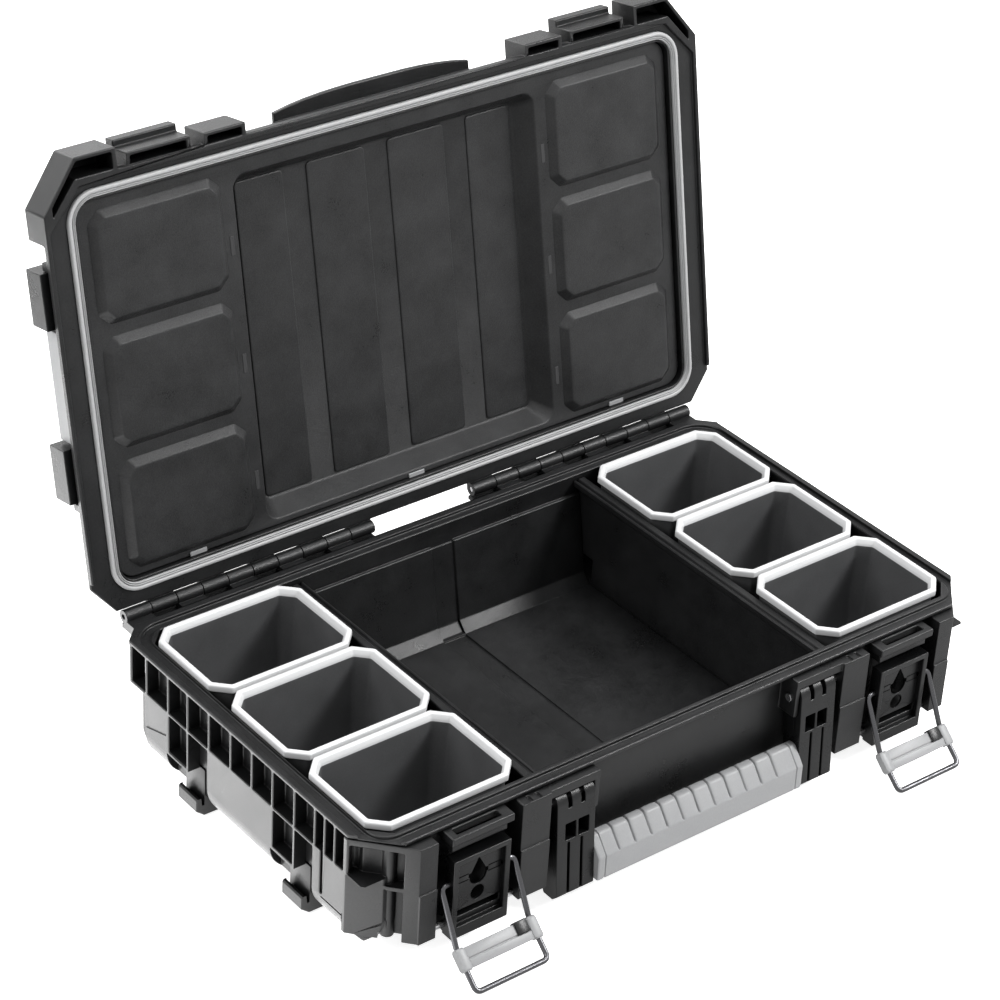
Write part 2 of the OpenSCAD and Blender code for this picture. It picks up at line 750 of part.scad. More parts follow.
// Liner: a panel with a well in the middle and a raised pad over each bin
module lid_liner() color(dark) on_open_lid() {
    mid_y = (well_back - well_front) / 2;
    well_d = well_back + well_front;
    difference() {
        union() {
            translate([0, 0, liner_z]) linear_extrude(liner_t)
                round_rect(-liner_half + liner_clear, -liner_front + liner_clear,
                    liner_half - liner_clear, liner_back - liner_clear, liner_r);
            translate([0, mid_y, 0]) frustum(2 * well_half + 2 * liner_t, well_d + 2 * liner_t, 12,
                liner_z, 2 * (well_half - well_slope) + 2 * liner_t,
                well_d - 2 * well_slope + 2 * liner_t, 12, liner_z + well_depth + liner_t);
            liner_pads(0, 0);
        }
        liner_pads(liner_t, eps);
        // channels in the floor of the well, and small slots beside the pads
        for (x = [-line_x, 0, line_x])
            block([x - line_half, -well_front + well_slope + 8, liner_z + well_depth - 1],
                [x + line_half, well_back - well_slope - 8, liner_z + well_depth + line_t]);
        for (s = [-1, 1], y = [-bin_pitch, 0, bin_pitch])
            translate([s * (well_half + 6), y, liner_z - 1]) linear_extrude(2) square([3, 16], center = true);
        translate([0, mid_y, 0]) frustum(2 * well_half, well_d, 12, liner_z - eps,
            2 * (well_half - well_slope), well_d - 2 * well_slope, 12, liner_z + well_depth);
    }
}

// Clips that hold the liner's rear edge
module liner_clips() color(grey) on_open_lid()
    for (x = [-bin_x + 4.5, 0, bin_x - 4.5])
        block([x - 7, liner_back - 3.5, liner_z - 1.2], [x + 7, liner_back + 0, liner_z]);

// ---------- stack locks on the sides of the lid ----------

// Bar along Y on the pivot of the left lock, starting a length behind its middle
module lock_axis(reach) {
    translate([-lock_pin_x, lock_mid + reach, lock_pin_z]) rotate([90, 0, 0]) children();
}

// Ears on the flange that carry the lock's pin
module lock_ears() {
    for (y = [lock_mid - lock_half - run - ear_t, lock_mid + lock_half + run])
        block([-lid_half + 1, y, lid_z], [-lock_back + 4, y + ear_t, lock_pin_z + 4]);
}

// Lock: a bar on the pin with two noses that hold the hooks of a case above
module stack_lock_left() color(dark) on_open_lid() difference() {
    union() {
        block([-lock_face, lock_mid - lock_half, lid_z + flange_h + 1],
            [-lock_back - lock_gap, lock_mid + lock_half, lock_pin_z + 4]);
        block([-lock_face, lock_mid - grip_half, lock_pin_z],
            [-lock_back - lock_gap, lock_mid + grip_half, case_h - 8]);
        for (y = [cleat_back, -cleat_front])
            block([-lid_half - 4, y - nose_half, lock_pin_z - 1.5],
                [-lock_back - lock_gap, y + nose_half, case_h - 2]);
    }
    lock_axis(lock_half + 1) cylinder(h = 2 * lock_half + 2, r = lock_pin_r + pin_gap);
}

module stack_lock_right() right_side() stack_lock_left();

// Grip pad on the lock, between its noses
module lock_grip_left() color(grey) on_open_lid()
    block([-lock_face - 4, lock_mid - grip_half, lock_pin_z - 1.5],
        [-lock_face, lock_mid + grip_half, case_h - 6]);

module lock_grip_right() right_side() lock_grip_left();

module lock_pin_left() color(steel) on_open_lid() lock_axis(lock_half + run + ear_t - 1)
    cylinder(h = 2 * (lock_half + run + ear_t - 1), r = lock_pin_r);

module lock_pin_right() right_side() lock_pin_left();

// ---------- latches ----------

// Lever: a tray with a raised border and a hole for a padlock
module lever_left() color(dark) {
    x0 = -latch_x - lever_w / 2;
    x1 = -latch_x + lever_w / 2;
    difference() {
        union() {
            block([x0, -lever_front, lever_low], [x1, -lever_back, lever_top]);
            rod_x(x0, x1, -lever_pin_y, lever_pin_z, lever_knuckle);
        }
        // tray in the front, hollow in the back
        block([x0 + 4, -lever_front - 1, lever_low + 9], [x1 - 4, -lever_front + tray_d, lever_top - 4]);
        block([x0 + 4, -lever_front + tray_d + 1.8, lever_pin_z + 8],
            [x1 - 4, -lever_back + 1, lever_top - 4]);
        // pointed padlock hole, round hole below it and slot at the foot
        translate([-latch_x, -lever_front - 1, 0]) rotate([-90, 0, 0]) {
            translate([0, -lock_hole_z, 0]) cylinder(h = lever_t + 2, r = 7);
            linear_extrude(lever_t + 2) polygon([[-6.6, -lock_hole_z - 2.5], [0, -lock_hole_z - 15],
                [6.6, -lock_hole_z - 2.5]]);
            translate([0, -lock_hole_z + 14, 0]) cylinder(h = lever_t + 2, r = 5.5);
        }
        block([x0 + 5, -lever_front - 1, lever_low + 14], [x1 - 5, -lever_back + 1, lever_low + 19]);
        rod_x(x0 - 1, x1 + 1, -lever_pin_y, lever_pin_z, lever_pin_r + pin_gap);
        rod_x(x0 - 1, x1 + 1, -bail_y, bail_z, bail_r + pin_gap);
    }
}

module lever_right() right_side() lever_left();

module lever_pin_left() color(steel)
    rod_x(-recess_out - 6, -recess_in + 6, -lever_pin_y, lever_pin_z, lever_pin_r);

module lever_pin_right() right_side() lever_pin_left();

// Quarter or part of a turn of wire, in the XY plane about the origin
module wire_bend(radius, angle) {
    rotate_extrude(angle = angle) translate([radius, 0]) circle(bail_r);
}

// Straight wire along -Z between two distances from the origin
module wire_run(from, to) {
    translate([0, 0, -to]) cylinder(h = to - from, r = bail_r);
}

// Frame of the left bail: origin at its pivot, -Z along its upper legs
module bail_frame() {
    translate([-latch_x, -bail_y, bail_z]) rotate([-leg_tilt, 0, 0]) children();
}

// One side of the bail: hook in the lever, upper leg, knee, lower leg, bottom corner
module bail_side() {
    translate([bail_half - bail_hook, 0, 0]) rotate([0, 90, 0])
        cylinder(h = bail_hook - bend_r, r = bail_r);
    translate([bail_half - bend_r, 0, -bend_r]) rotate([90, 0, 0]) wire_bend(bend_r, 90);
    translate([bail_half, 0, 0]) wire_run(bend_r, leg_len - knee_cut);
    translate([bail_half, -knee_r, -leg_len + knee_cut]) rotate([0, -90, 0]) rotate([0, 0, 90])
        wire_bend(knee_r, knee_turn);
    translate([bail_half, 0, -leg_len]) rotate([-knee_turn, 0, 0]) {
        wire_run(knee_cut, tip_len - bend_r);
        translate([-bend_r, 0, -tip_len + bend_r]) rotate([-90, 0, 0]) wire_bend(bend_r, 90);
        translate([-bail_half, 0, -tip_len]) rotate([0, 90, 0])
            cylinder(h = bail_half - bend_r, r = bail_r);
    }
}

module bail_left() color(steel) bail_frame() {
    bail_side();
    mirror([1, 0, 0]) bail_side();
}

module bail_right() right_side() bail_left();

// Finger tab moulded round the legs of the bail
module bail_tab_left() color(grey) bail_frame() difference() {
    translate([-bail_half, -tab_t / 2, -leg_len + knee_cut + 0.5])
        cube([2 * bail_half, tab_t, tab_h]);
    for (x = [-bail_half, bail_half]) translate([x, 0, 0]) wire_run(0, leg_len);
}

module bail_tab_right() right_side() bail_tab_left();

// ---------- handle ----------

module handle_arm_left() color(dark) {
    difference() {
        union() {
            rod_x(-arm_out, -arm_in, -handle_y, handle_z, arm_r);
            translate([-arm_out, 0, 0]) rotate([90, 0, 90]) linear_extrude(arm_w)
                polygon([[-handle_y - arm_r, handle_z], [-arm_tip, arm_low + 4],
                    [-arm_tip + 4, arm_low], [-grip_back - 2, arm_low],
                    [-grip_back + 1, arm_low + 6], [-handle_y + arm_r, handle_z]]);
        }
        rod_x(-arm_out - 1, -arm_in + 1, -handle_y, handle_z, handle_pin_r + pin_gap);
        for (x = [-arm_out + 9, -arm_in - 12]) {
            block([x, -handle_y - 20, handle_z - 3], [x + 3.5, -handle_y + 20, handle_z + 20]);
            block([x - 2, -handle_y - 20, handle_z - 28], [x + 7, -handle_y + 20, handle_z - 15]);
            block([x, -arm_tip - 5, arm_low - 1], [x + 2, -handle_y - arm_r - 0, handle_z - 30]);
        }
    }
}

module handle_arm_right() right_side() handle_arm_left();

module handle_grip() color(grey)
    translate([-arm_in, 0, 0]) rotate([90, 0, 90]) linear_extrude(2 * arm_in)
        polygon([[-grip_front, grip_low], [-grip_front, grip_high - 12], [-grip_front + 11, grip_high],
            [-grip_back - 4, grip_high], [-grip_back, grip_high - 5], [-grip_back, grip_low + 4],
            [-grip_back - 4, grip_low]]);

module handle_pin_left() color(steel)
    rod_x(-bump_in - 2.5, -arm_in + run + lug_t + 1, -handle_y, handle_z, handle_pin_r);

module handle_pin_right() right_side() handle_pin_left();

base_shell();
feet();
stacking_hooks();
divider_left();
divider_right();
bin_left_rear();
bin_left_middle();
bin_left_front();
bin_right_rear();
bin_right_middle();
bin_right_front();
hinge_rod_left();
hinge_rod_right();
lid_shell();
lid_liner();
lid_gasket();
liner_clips();
lever_left();
lever_right();
lever_pin_left();
lever_pin_right();
bail_left();
bail_right();
bail_tab_left();
bail_tab_right();
handle_arm_left();
handle_arm_right();
handle_grip();
handle_pin_left();
handle_pin_right();
stack_lock_left();
stack_lock_right();
lock_grip_left();
lock_grip_right();
lock_pin_left();
lock_pin_right();
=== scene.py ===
"""Looks for a hard tool case with a hinged lid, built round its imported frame.

Metres, +X to the right, front towards -Y, +Z up. The lid stands open at rest.
"""
import json
import math

import bmesh
import bpy
import numpy as np
from bpy.props import FloatProperty, FloatVectorProperty, PointerProperty
from mathutils import Matrix, Vector


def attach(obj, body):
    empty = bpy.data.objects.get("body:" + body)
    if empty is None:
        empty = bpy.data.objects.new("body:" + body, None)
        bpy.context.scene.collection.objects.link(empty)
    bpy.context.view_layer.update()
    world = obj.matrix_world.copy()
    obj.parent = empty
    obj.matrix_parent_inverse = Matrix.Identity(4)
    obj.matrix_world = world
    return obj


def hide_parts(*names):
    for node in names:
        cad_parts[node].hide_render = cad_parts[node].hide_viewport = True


bl_info = {
    "name": "Tool case dressing",
    "version": (1, 0, 0),
    "blender": (4, 5, 0),
    "location": "View3D > Sidebar > Tool case",
    "description": "Dresses the packed tool case with detailed pieces, finishes and a studio",
    "category": "Object",
}

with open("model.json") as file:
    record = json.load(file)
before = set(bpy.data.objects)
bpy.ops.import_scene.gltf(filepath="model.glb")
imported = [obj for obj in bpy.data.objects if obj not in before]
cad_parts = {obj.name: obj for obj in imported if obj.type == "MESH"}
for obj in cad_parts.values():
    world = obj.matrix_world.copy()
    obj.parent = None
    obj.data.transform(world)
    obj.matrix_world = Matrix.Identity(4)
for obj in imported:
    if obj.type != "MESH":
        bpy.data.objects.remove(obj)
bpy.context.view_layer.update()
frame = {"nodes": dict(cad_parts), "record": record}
MM = 0.001
SIDES = {"left": -1.0, "right": 1.0}

# Places that several pieces share, in millimetres
ROWS = {"rear": 1, "middle": 0, "front": -1}
ROW_STEP = 89.5
LATCH_X = 188.0
SIDE_X = 269.0

# Camera that looks at the case as the photograph does, in metres and radians
VIEW_TARGET = (0.0513, 0.1323, 0.108)
VIEW_AZIMUTH = math.radians(-39.69)
VIEW_ELEVATION = math.radians(32.14)
VIEW_ROLL = math.radians(3.45)
VIEW_DISTANCE = 2.3227
VIEW_LENS = 113.34

# The open lid turns about this line, along X, by this angle
HINGE_Y = 0.160
HINGE_Z = 0.1045
LID_OPEN = math.radians(101.0)

# Merging distance of new pieces and of CAD copies, then flat and sharp edges of a copy
NEW_MERGED, MERGED = 2e-6, 2e-5
FLAT_ANGLE = math.radians(1.0)
SHARP_ANGLE = math.radians(28.0)

# Patterns of the plastics: turns per metre, then depths and reaches in metres
CLOUDS, SPECKS, GRAIN = 38.0, 900.0, 2600.0
SCUFF_TURN, SCUFF_STRETCH = (0.4, 0.3, 0.7), (16.0, 240.0, 90.0)
GRAIN_DEPTH = 0.00009
# Reach of the ambient occlusion that paints shade into hollows
HOLLOW_SHADE_REACH = 0.035
# Height above which the bins' colour turns pale: a painted highlight along their rims
RIM_HIGHLIGHT_FROM, RIM_HIGHLIGHT_BLEND = 0.1008, 0.0003

# Mirror strength of the plastics: in a hollow, where the painted shade cuts it further; in the open; on
# plain pieces
SHADED_HOLLOW_GLOSS, OPEN_GLOSS, SHEET_GLOSS = 0.5, 0.30, 0.25

# Share of the clouds in the colour and in the gloss, and how far the roughness swings
CLOUD_IN_COLOUR, CLOUD_IN_GLOSS = 0.5, 0.7
ROUGH_SWING = 0.07

# Painted shade: colour deep in a hollow, as a share of the plain one; and share of the light colour in a
# scuff
HOLLOW_SHADE = 0.3
SCUFF_SHADE = 0.10


# ---------- sizes and colours a user may change ----------

def colour(name, text, value):
    return FloatVectorProperty(name=name, description=text, subtype="COLOR", size=3,
                               min=0.0, max=1.0, default=value)


def length(name, text, value, low, high):
    return FloatProperty(name=name, description=text, default=value, min=low, max=high,
                         unit="LENGTH", precision=5)


class CaseFinish(bpy.types.PropertyGroup):
    """Colours and grain of the case's finishes"""
    shell: colour("Shell", "Moulded plastic of the base and the lid", (0.011, 0.0112, 0.0116))
    trim: colour("Trim", "Plastic of the levers, the arms and the hooks", (0.006, 0.0062, 0.0065))
    liner: colour("Liner", "Formed sheet inside the lid", (0.019, 0.0192, 0.0197))
    bin: colour("Bin", "Plastic of the lift-out bins", (0.075, 0.076, 0.078))
    # The pale bin rim colour is a painted highlight along the top of the bins, not a different plastic
    bin_rim_highlight: colour("Bin rim", "Polished rim of the bins", (0.66, 0.665, 0.67))
    grip: colour("Grip", "Light plastic of the grip and the tabs", (0.29, 0.293, 0.298))
    seal: colour("Seal", "Rubber cord of the lid", (0.36, 0.362, 0.365))
    wire: colour("Wire", "Dark steel wire of the latches", (0.10, 0.10, 0.105))
    pin: colour("Pin", "Plain steel of rods and pins", (0.60, 0.60, 0.61))
    foot: colour("Foot", "Rubber of the feet", (0.02, 0.02, 0.021))


class CaseSizes(bpy.types.PropertyGroup):
    """Small sizes of the dressing"""
    edge: length("Edge", "Rounding of moulded edges", 0.0009, 0.0001, 0.002)
    fine_edge: length("Fine edge", "Rounding of small parts' edges", 0.0006, 0.0001, 0.002)
    wire_radius: length("Wire radius", "Half the thickness of the latches' wire", 0.00195,
                        0.0010, 0.0024)


def finish():
    return bpy.context.scene.case_finish


def sizes():
    return bpy.context.scene.case_sizes


# ---------- nodes of a material ----------

class Nodes:
    """Short calls that add shader nodes to one material or world and link them"""

    def __init__(self, name, kind="materials"):
        self.owner = getattr(bpy.data, kind).new(name)
        self.owner.use_nodes = True
        self.tree = self.owner.node_tree
        self.bsdf = self.tree.nodes.get("Principled BSDF")

    def add(self, kind, inputs=None, **settings):
        node = self.tree.nodes.new(kind)
        for key, value in settings.items():
            setattr(node, key, value)
        for key, value in (inputs or {}).items():
            self.put(node.inputs[key], value)
        return node

    def put(self, socket, value):
        if isinstance(value, bpy.types.NodeSocket):
            self.tree.links.new(value, socket)
        else:
            socket.default_value = value

    def set(self, **values):
        for key, value in values.items():
            self.put(self.bsdf.inputs[key.replace("_", " ")], value)

    def place(self):
        return self.add("ShaderNodeTexCoord").outputs["Object"]

    def noise(self, vector, scale, detail, rough):
        return self.add("ShaderNodeTexNoise", {"Vector": vector, "Scale": scale, "Detail": detail,
                                               "Roughness": rough}).outputs["Fac"]

    def math(self, kind, a, b=0.0, c=0.0):
        node = self.add("ShaderNodeMath", operation=kind)
        for socket, value in zip(node.inputs, (a, b, c)):
            self.put(socket, value)
        return node.outputs[0]

    def ramp(self, value, low, high, to_low=0.0, to_high=1.0):
        return self.add("ShaderNodeMapRange", {"Value": value, "From Min": low, "From Max": high,
                                               "To Min": to_low, "To Max": to_high}).outputs[0]

    def mix(self, factor, a, b):
        node = self.add("ShaderNodeMix", data_type="RGBA")
        self.put(node.inputs["Factor"], factor)
        self.put(node.inputs["A"], a if isinstance(a, bpy.types.NodeSocket) else (*a, 1.0))
        self.put(node.inputs["B"], b if isinstance(b, bpy.types.NodeSocket) else (*b, 1.0))
        return node.outputs["Result"]

    def bump(self, height, distance):
        return self.add("ShaderNodeBump", {"Height": height, "Distance": distance,
                                           "Strength": 1.0}).outputs["Normal"]

    def blend(self, a, b, share):
        """share a + (1 - share) b"""
        return self.math("ADD", self.math("MULTIPLY", a, share),
                         self.math("MULTIPLY", b, 1.0 - share))

    def any_of(self, *values):
        """Largest of several values"""
        largest = values[0]
        for value in values[1:]:
            largest = self.math("MAXIMUM", largest, value)
        return largest


def moulded_plastic(name, tint, rough, grain, worn, painted_hollow_shade=0.0, rim=None, mottled=0.35):
    """Moulded plastic: fine grain, cloudy gloss, faint scuffs, painted shade in hollows, and a pale band at
    the rim that is a painted highlight
    """
    m = Nodes(name)
    where = m.place()
    cloud = m.noise(where, CLOUDS, 4.0, 0.6)
    fine = m.noise(where, GRAIN, 2.0, 0.5)
    speck = m.noise(where, SPECKS, 3.0, 0.6)
    stretched = m.add("ShaderNodeMapping", {"Vector": where, "Rotation": SCUFF_TURN,
                                            "Scale": SCUFF_STRETCH}).outputs[0]
    scuff = m.ramp(m.noise(stretched, 1.6, 5.0, 0.65), 0.60, 0.74)
    light = tuple(min(1.0, 0.05 + 1.5 * c) for c in tint)
    mottle = m.blend(cloud, speck, CLOUD_IN_COLOUR)
    shade = m.mix(m.ramp(mottle, 0.35, 0.65), tuple((1.0 - mottled) * c for c in tint),
                  tuple((1.0 + 1.4 * mottled) * c for c in tint))
    shade = m.mix(m.math("MULTIPLY", scuff, worn * SCUFF_SHADE), shade, light)
    # Painted highlight: above a height the colour turns to the pale rim colour
    if rim:
        height = m.add("ShaderNodeSeparateXYZ", {0: where}).outputs[2]
        above = m.ramp(height, RIM_HIGHLIGHT_FROM, RIM_HIGHLIGHT_FROM + RIM_HIGHLIGHT_BLEND)
        shade = m.mix(above, shade, rim)
    # Painted shade: ambient occlusion darkens the colour and lowers the mirror strength in hollows,
    # standing in for shade
    if painted_hollow_shade:
        open_air = m.add("ShaderNodeAmbientOcclusion", {"Distance": HOLLOW_SHADE_REACH},
                         samples=6).outputs["AO"]
        m.set(Specular_IOR_Level=m.ramp(open_air, 0.15, 0.85, SHADED_HOLLOW_GLOSS * (1.0 - painted_hollow_shade),
                                        OPEN_GLOSS))
        shade = m.mix(m.ramp(open_air, 0.1, 0.8, painted_hollow_shade, 0.0), shade,
                      tuple(HOLLOW_SHADE * c for c in tint))
    elif not rim:
        m.set(Specular_IOR_Level=SHEET_GLOSS)
    m.set(Base_Color=shade,
          Roughness=m.ramp(m.blend(cloud, speck, CLOUD_IN_GLOSS), 0.3, 0.7,
                           rough - ROUGH_SWING, rough + ROUGH_SWING),
          Normal=m.bump(m.math("ADD", fine, m.math("MULTIPLY", speck, 0.8)),
                        GRAIN_DEPTH * grain))
    return m.owner


def steel(name, tint, rough):
    """Drawn steel with faint lines along it"""
    m = Nodes(name)
    where = m.place()
    line = m.noise(m.add("ShaderNodeMapping", {"Vector": where, "Scale": (60.0, 900.0, 900.0)}
                         ).outputs[0], 3.0, 3.0, 0.6)
    m.set(Base_Color=m.mix(m.ramp(line, 0.35, 0.65, 0.0, 0.5), tint,
                           tuple(0.7 * c for c in tint)),
          Metallic=1.0, Roughness=m.ramp(line, 0.3, 0.7, rough - 0.08, rough + 0.1),
          Normal=m.bump(line, 0.00003))
    return m.owner


def rubber(name, tint, rough):
    """Soft rubber, even and matt, with a fine dusty grain"""
    m = Nodes(name)
    where = m.place()
    dust = m.noise(where, 1500.0, 3.0, 0.6)
    m.set(Base_Color=m.mix(m.ramp(dust, 0.4, 0.65, 0.0, 0.4), tint,
                           tuple(min(1.0, 1.3 * c + 0.01) for c in tint)),
          Roughness=m.ramp(dust, 0.3, 0.7, rough - 0.05, rough + 0.08),
          Normal=m.bump(dust, 0.00004))
    return m.owner


MATERIALS = {}


def material(slot):
    """Material of a slot, made once"""
    if slot not in MATERIALS:
        f = finish()
        MATERIALS[slot] = {
            # Shell and trim get painted shade in their hollows (the last number)
            "shell": lambda: moulded_plastic("shell_plastic", tuple(f.shell), 0.32, 1.3, 0.5,
                                             0.85),
            "trim": lambda: moulded_plastic("trim_plastic", tuple(f.trim), 0.30, 0.7, 0.5, 0.85),
            "liner": lambda: moulded_plastic("liner_sheet", tuple(f.liner), 0.33, 1.8, 0.3),
            # The bins' rim colour paints a highlight along their top
            "bin": lambda: moulded_plastic("bin_plastic", tuple(f.bin), 0.40, 0.4, 0.1,
                                           rim=tuple(f.bin_rim_highlight), mottled=0.12),
            "grip": lambda: moulded_plastic("grip_plastic", tuple(f.grip), 0.36, 0.4, 0.1,
                                            mottled=0.04),
            "seal": lambda: rubber("seal_rubber", tuple(f.seal), 0.5),
            "foot": lambda: rubber("foot_rubber", tuple(f.foot), 0.7),
            "wire": lambda: steel("latch_wire", tuple(f.wire), 0.3),
            "pin": lambda: steel("plain_steel", tuple(f.pin), 0.25),
        }[slot]()
    return MATERIALS[slot]


# ---------- meshes ----------

def new_piece(name, points, faces, slot, body):
    """Object from a point array and a face array, riding on a body"""
    mesh = bpy.data.meshes.new(name)
    mesh.from_pydata(np.asarray(points, float).reshape(-1, 3), [], faces)
    mesh.polygons.foreach_set("use_smooth", np.full(len(mesh.polygons), True))
    mesh.validate()
    piece = bpy.data.objects.new(name, mesh)
    bpy.context.scene.collection.objects.link(piece)
    return dress(piece, slot, body)


def dress(piece, slot, body):
    """Gives a piece its material and slot and puts it on its body"""
    piece.data.materials.clear()
    piece.data.materials.append(material(slot))
    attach(piece, body)
    return piece


def body_of(node):
    """Body that a CAD node rides on"""
    for body, members in frame["record"]["behaviour"]["bodies"].items():
        if node in members:
            return body
    raise ValueError(node)


def weigh_edges(form, width):
    """Rounding of every sharp edge: w = min(1, shortest edge at its ends / (2.3 width))"""
    room, level = 2.3, 0.02
    weight = form.edges.layers.float.new("bevel_weight_edge")
    for edge in form.edges:
        if len(edge.link_faces) == 2 and edge.calc_face_angle(0.0) > SHARP_ANGLE:
            near = min(e.calc_length() for v in edge.verts for e in v.link_edges
                       if e.calc_face_angle(0.0) > level)
            edge[weight] = min(1.0, near / (room * width))


def soft_edges(piece, width):
    """Rounds the weighted edges of a piece: radius = weight times width"""
    modifier = piece.modifiers.new("edges", "BEVEL")
    modifier.width = width
    modifier.segments = 2
    modifier.limit_method = "WEIGHT"
    modifier.use_clamp_overlap = False
    modifier.miter_outer = "MITER_ARC"
    flats = piece.modifiers.new("flats", "WEIGHTED_NORMAL")
    flats.keep_sharp = True
    return piece


def prism(outline, z0, z1):
    """Upright prism: P(s, z) = (outline(s), z) for z from z0 to z1, both ends closed"""
    return loft([lift(outline, z0), lift(outline, z1)], True, True)


def cut_out(mesh, prisms):
    """Mesh less its prisms, each an outline with its low and high end in millimetres"""
    work = bpy.data.objects.new("work", mesh)
    points, faces = joined([prism(*p) for p in prisms])
    tool_mesh = bpy.data.meshes.new("cutter")
    tool_mesh.from_pydata(np.asarray(points) * MM, [], faces)
    form = bmesh.new()
    form.from_mesh(tool_mesh)
    bmesh.ops.recalc_face_normals(form, faces=form.faces)
    form.to_mesh(tool_mesh)
    form.free()
    tool = bpy.data.objects.new("cutter", tool_mesh)
    for obj in (work, tool):
        bpy.context.scene.collection.objects.link(obj)
    modifier = work.modifiers.new("openings", "BOOLEAN")
    modifier.operation = "DIFFERENCE"
    modifier.solver = "EXACT"
    modifier.use_self = True
    modifier.object = tool
    bpy.context.view_layer.update()
    result = bpy.data.meshes.new_from_object(
        work.evaluated_get(bpy.context.evaluated_depsgraph_get()))
    for obj in (work, tool):
        bpy.data.objects.remove(obj)
    return result


def moulded_copy(node, slot, width, openings=()):
    """Copy of a CAD node with its loose triangles merged and its edges rounded"""
    mesh = frame["nodes"][node].data.copy()
    form = bmesh.new()
    form.from_mesh(mesh)
    bmesh.ops.remove_doubles(form, verts=form.verts, dist=MERGED)
    if openings:
        form.to_mesh(mesh)
        mesh = cut_out(mesh, openings)
        form.clear()
        form.from_mesh(mesh)
        bmesh.ops.remove_doubles(form, verts=form.verts, dist=MERGED)
    bmesh.ops.dissolve_limit(form, angle_limit=FLAT_ANGLE, verts=form.verts,
                             edges=form.edges, use_dissolve_boundaries=False)
    bmesh.ops.triangulate(form, faces=[f for f in form.faces if len(f.verts) > 4])
    weigh_edges(form, width)
    form.to_mesh(mesh)
    form.free()
    mesh.polygons.foreach_set("use_smooth", np.full(len(mesh.polygons), True))
    mesh.set_sharp_from_angle(angle=SHARP_ANGLE)
    piece = bpy.data.objects.new(node + "_form", mesh)
    bpy.context.scene.collection.objects.link(piece)
    dress(piece, slot, body_of(node))
    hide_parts(node)
    return soft_edges(piece, width)


# ---------- surfaces ----------

def rounded_loop(corners, radius, steps=5):
    """Closed outline with every corner rounded.

    corner p between unit edges a (in) and b (out), turning by q: centre
    c = p - a t + side n(a) r with t = r tan(|q| / 2); points c - n turned by s q, 0 <= s <= 1
    """
    p = np.asarray(corners, float)
    r = np.broadcast_to(np.asarray(radius, float), len(p))[:, None]
    a = p - np.roll(p, 1, 0)
    a /= np.linalg.norm(a, axis=1, keepdims=True)
    b = np.roll(a, -1, 0)
    turn = np.arctan2(a[:, 0] * b[:, 1] - a[:, 1] * b[:, 0], (a * b).sum(1))[:, None]
    side = np.sign(turn)
    normal = np.stack((-a[:, 1], a[:, 0]), 1) * side
    centre = p - a * r * np.tan(np.abs(turn) / 2) + normal * r
    s = turn * np.linspace(0, 1, steps + 1)
    x = -normal[:, :1] * np.cos(s) + normal[:, 1:] * np.sin(s)
    y = -normal[:, :1] * np.sin(s) - normal[:, 1:] * np.cos(s)
    return (centre[:, None, :] + r[:, :, None] * np.stack((x, y), 2)).reshape(-1, 2)


def cut_rectangle(width, depth, cut, radius, steps):
    """Rectangle about the origin, each corner cut off at 45 degrees a cut away, then rounded"""
    x, y = width / 2, depth / 2
    return rounded_loop([(-x + cut, -y), (x - cut, -y), (x, -y + cut), (x, y - cut),
                         (x - cut, y), (-x + cut, y), (-x, y - cut), (-x, -y + cut)],
                        radius, steps)


def rounded_rectangle(x0, y0, x1, y1, radius, steps=10):
    """Rectangle between two corners, each turned by a quarter circle of the radius"""
    return rounded_loop([(x0, y0), (x1, y0), (x1, y1), (x0, y1)], radius, steps)


def lift(outline, height):
    """Points (x, y, height) of an outline"""
    return np.column_stack((outline, np.full(len(outline), height)))


def loft(loops, first=False, last=False):
    """Skin through equal closed loops P(i, j): quads i to i + 1, j to j + 1, ends capped"""
    loops = np.asarray(loops, float)
    m, n = loops.shape[:2]
    i, j = np.meshgrid(np.arange(m - 1), np.arange(n), indexing="ij")
    k = (j + 1) % n
    quads = np.stack((i * n + j, i * n + k, (i + 1) * n + k, (i + 1) * n + j), 2).reshape(-1, 4)
    faces = quads.tolist()
    if first:
        faces.append(list(range(n))[::-1])
    if last:
        faces.append(list(range((m - 1) * n, m * n)))
    return loops.reshape(-1, 3), faces


def tube(path, radius, sides, side_axis):
    """Round bar along a path: P(t, v) = c(t) + r (cos v a + sin v b), a and b across c'(t)"""
    path = np.asarray(path, float)
    along = np.gradient(path, axis=0)
    along /= np.linalg.norm(along, axis=1, keepdims=True)
    a = np.cross(along, np.broadcast_to(side_axis, along.shape))
    a /= np.linalg.norm(a, axis=1, keepdims=True)
    b = np.cross(along, a)
    v = np.linspace(0, 2 * np.pi, sides, endpoint=False)[None, :, None]
    return loft(path[:, None] + radius * (np.cos(v) * a[:, None] + np.sin(v) * b[:, None]),
                True, True)


def box(low, high, soft):
    """Block between two corners: four level outlines, the end ones drawn in by the soft edge"""
    (x0, y0, z0), (x1, y1, z1) = low, high
    loops = []
    for inset, z in ((soft, z0), (0.0, z0 + soft), (0.0, z1 - soft), (soft, z1)):
        loops.append(lift(rounded_rectangle(x0 + inset, y0 + inset, x1 - inset, y1 - inset,
                                            max(soft - inset * 0.5, 0.05), 2), z))
    return loft(loops, True, True)


def extrude_y(outline, y0, y1, soft):
    """Prism along Y: P(s, y) = (x(s), y, z(s)), each end drawn in towards the middle"""
    outline = np.asarray(outline, float)
    middle = outline.mean(0)
    loops = []
    for y, inset in ((y0, soft), (y0 + soft, 0.0), (y1 - soft, 0.0), (y1, soft)):
        reach = np.linalg.norm(outline - middle, axis=1, keepdims=True)
        ring = middle + (outline - middle) * (1.0 - inset / np.maximum(reach, 1e-6))
        loops.append(np.column_stack((ring[:, 0], np.full(len(ring), y), ring[:, 1])))
    return loft(loops, True, True)


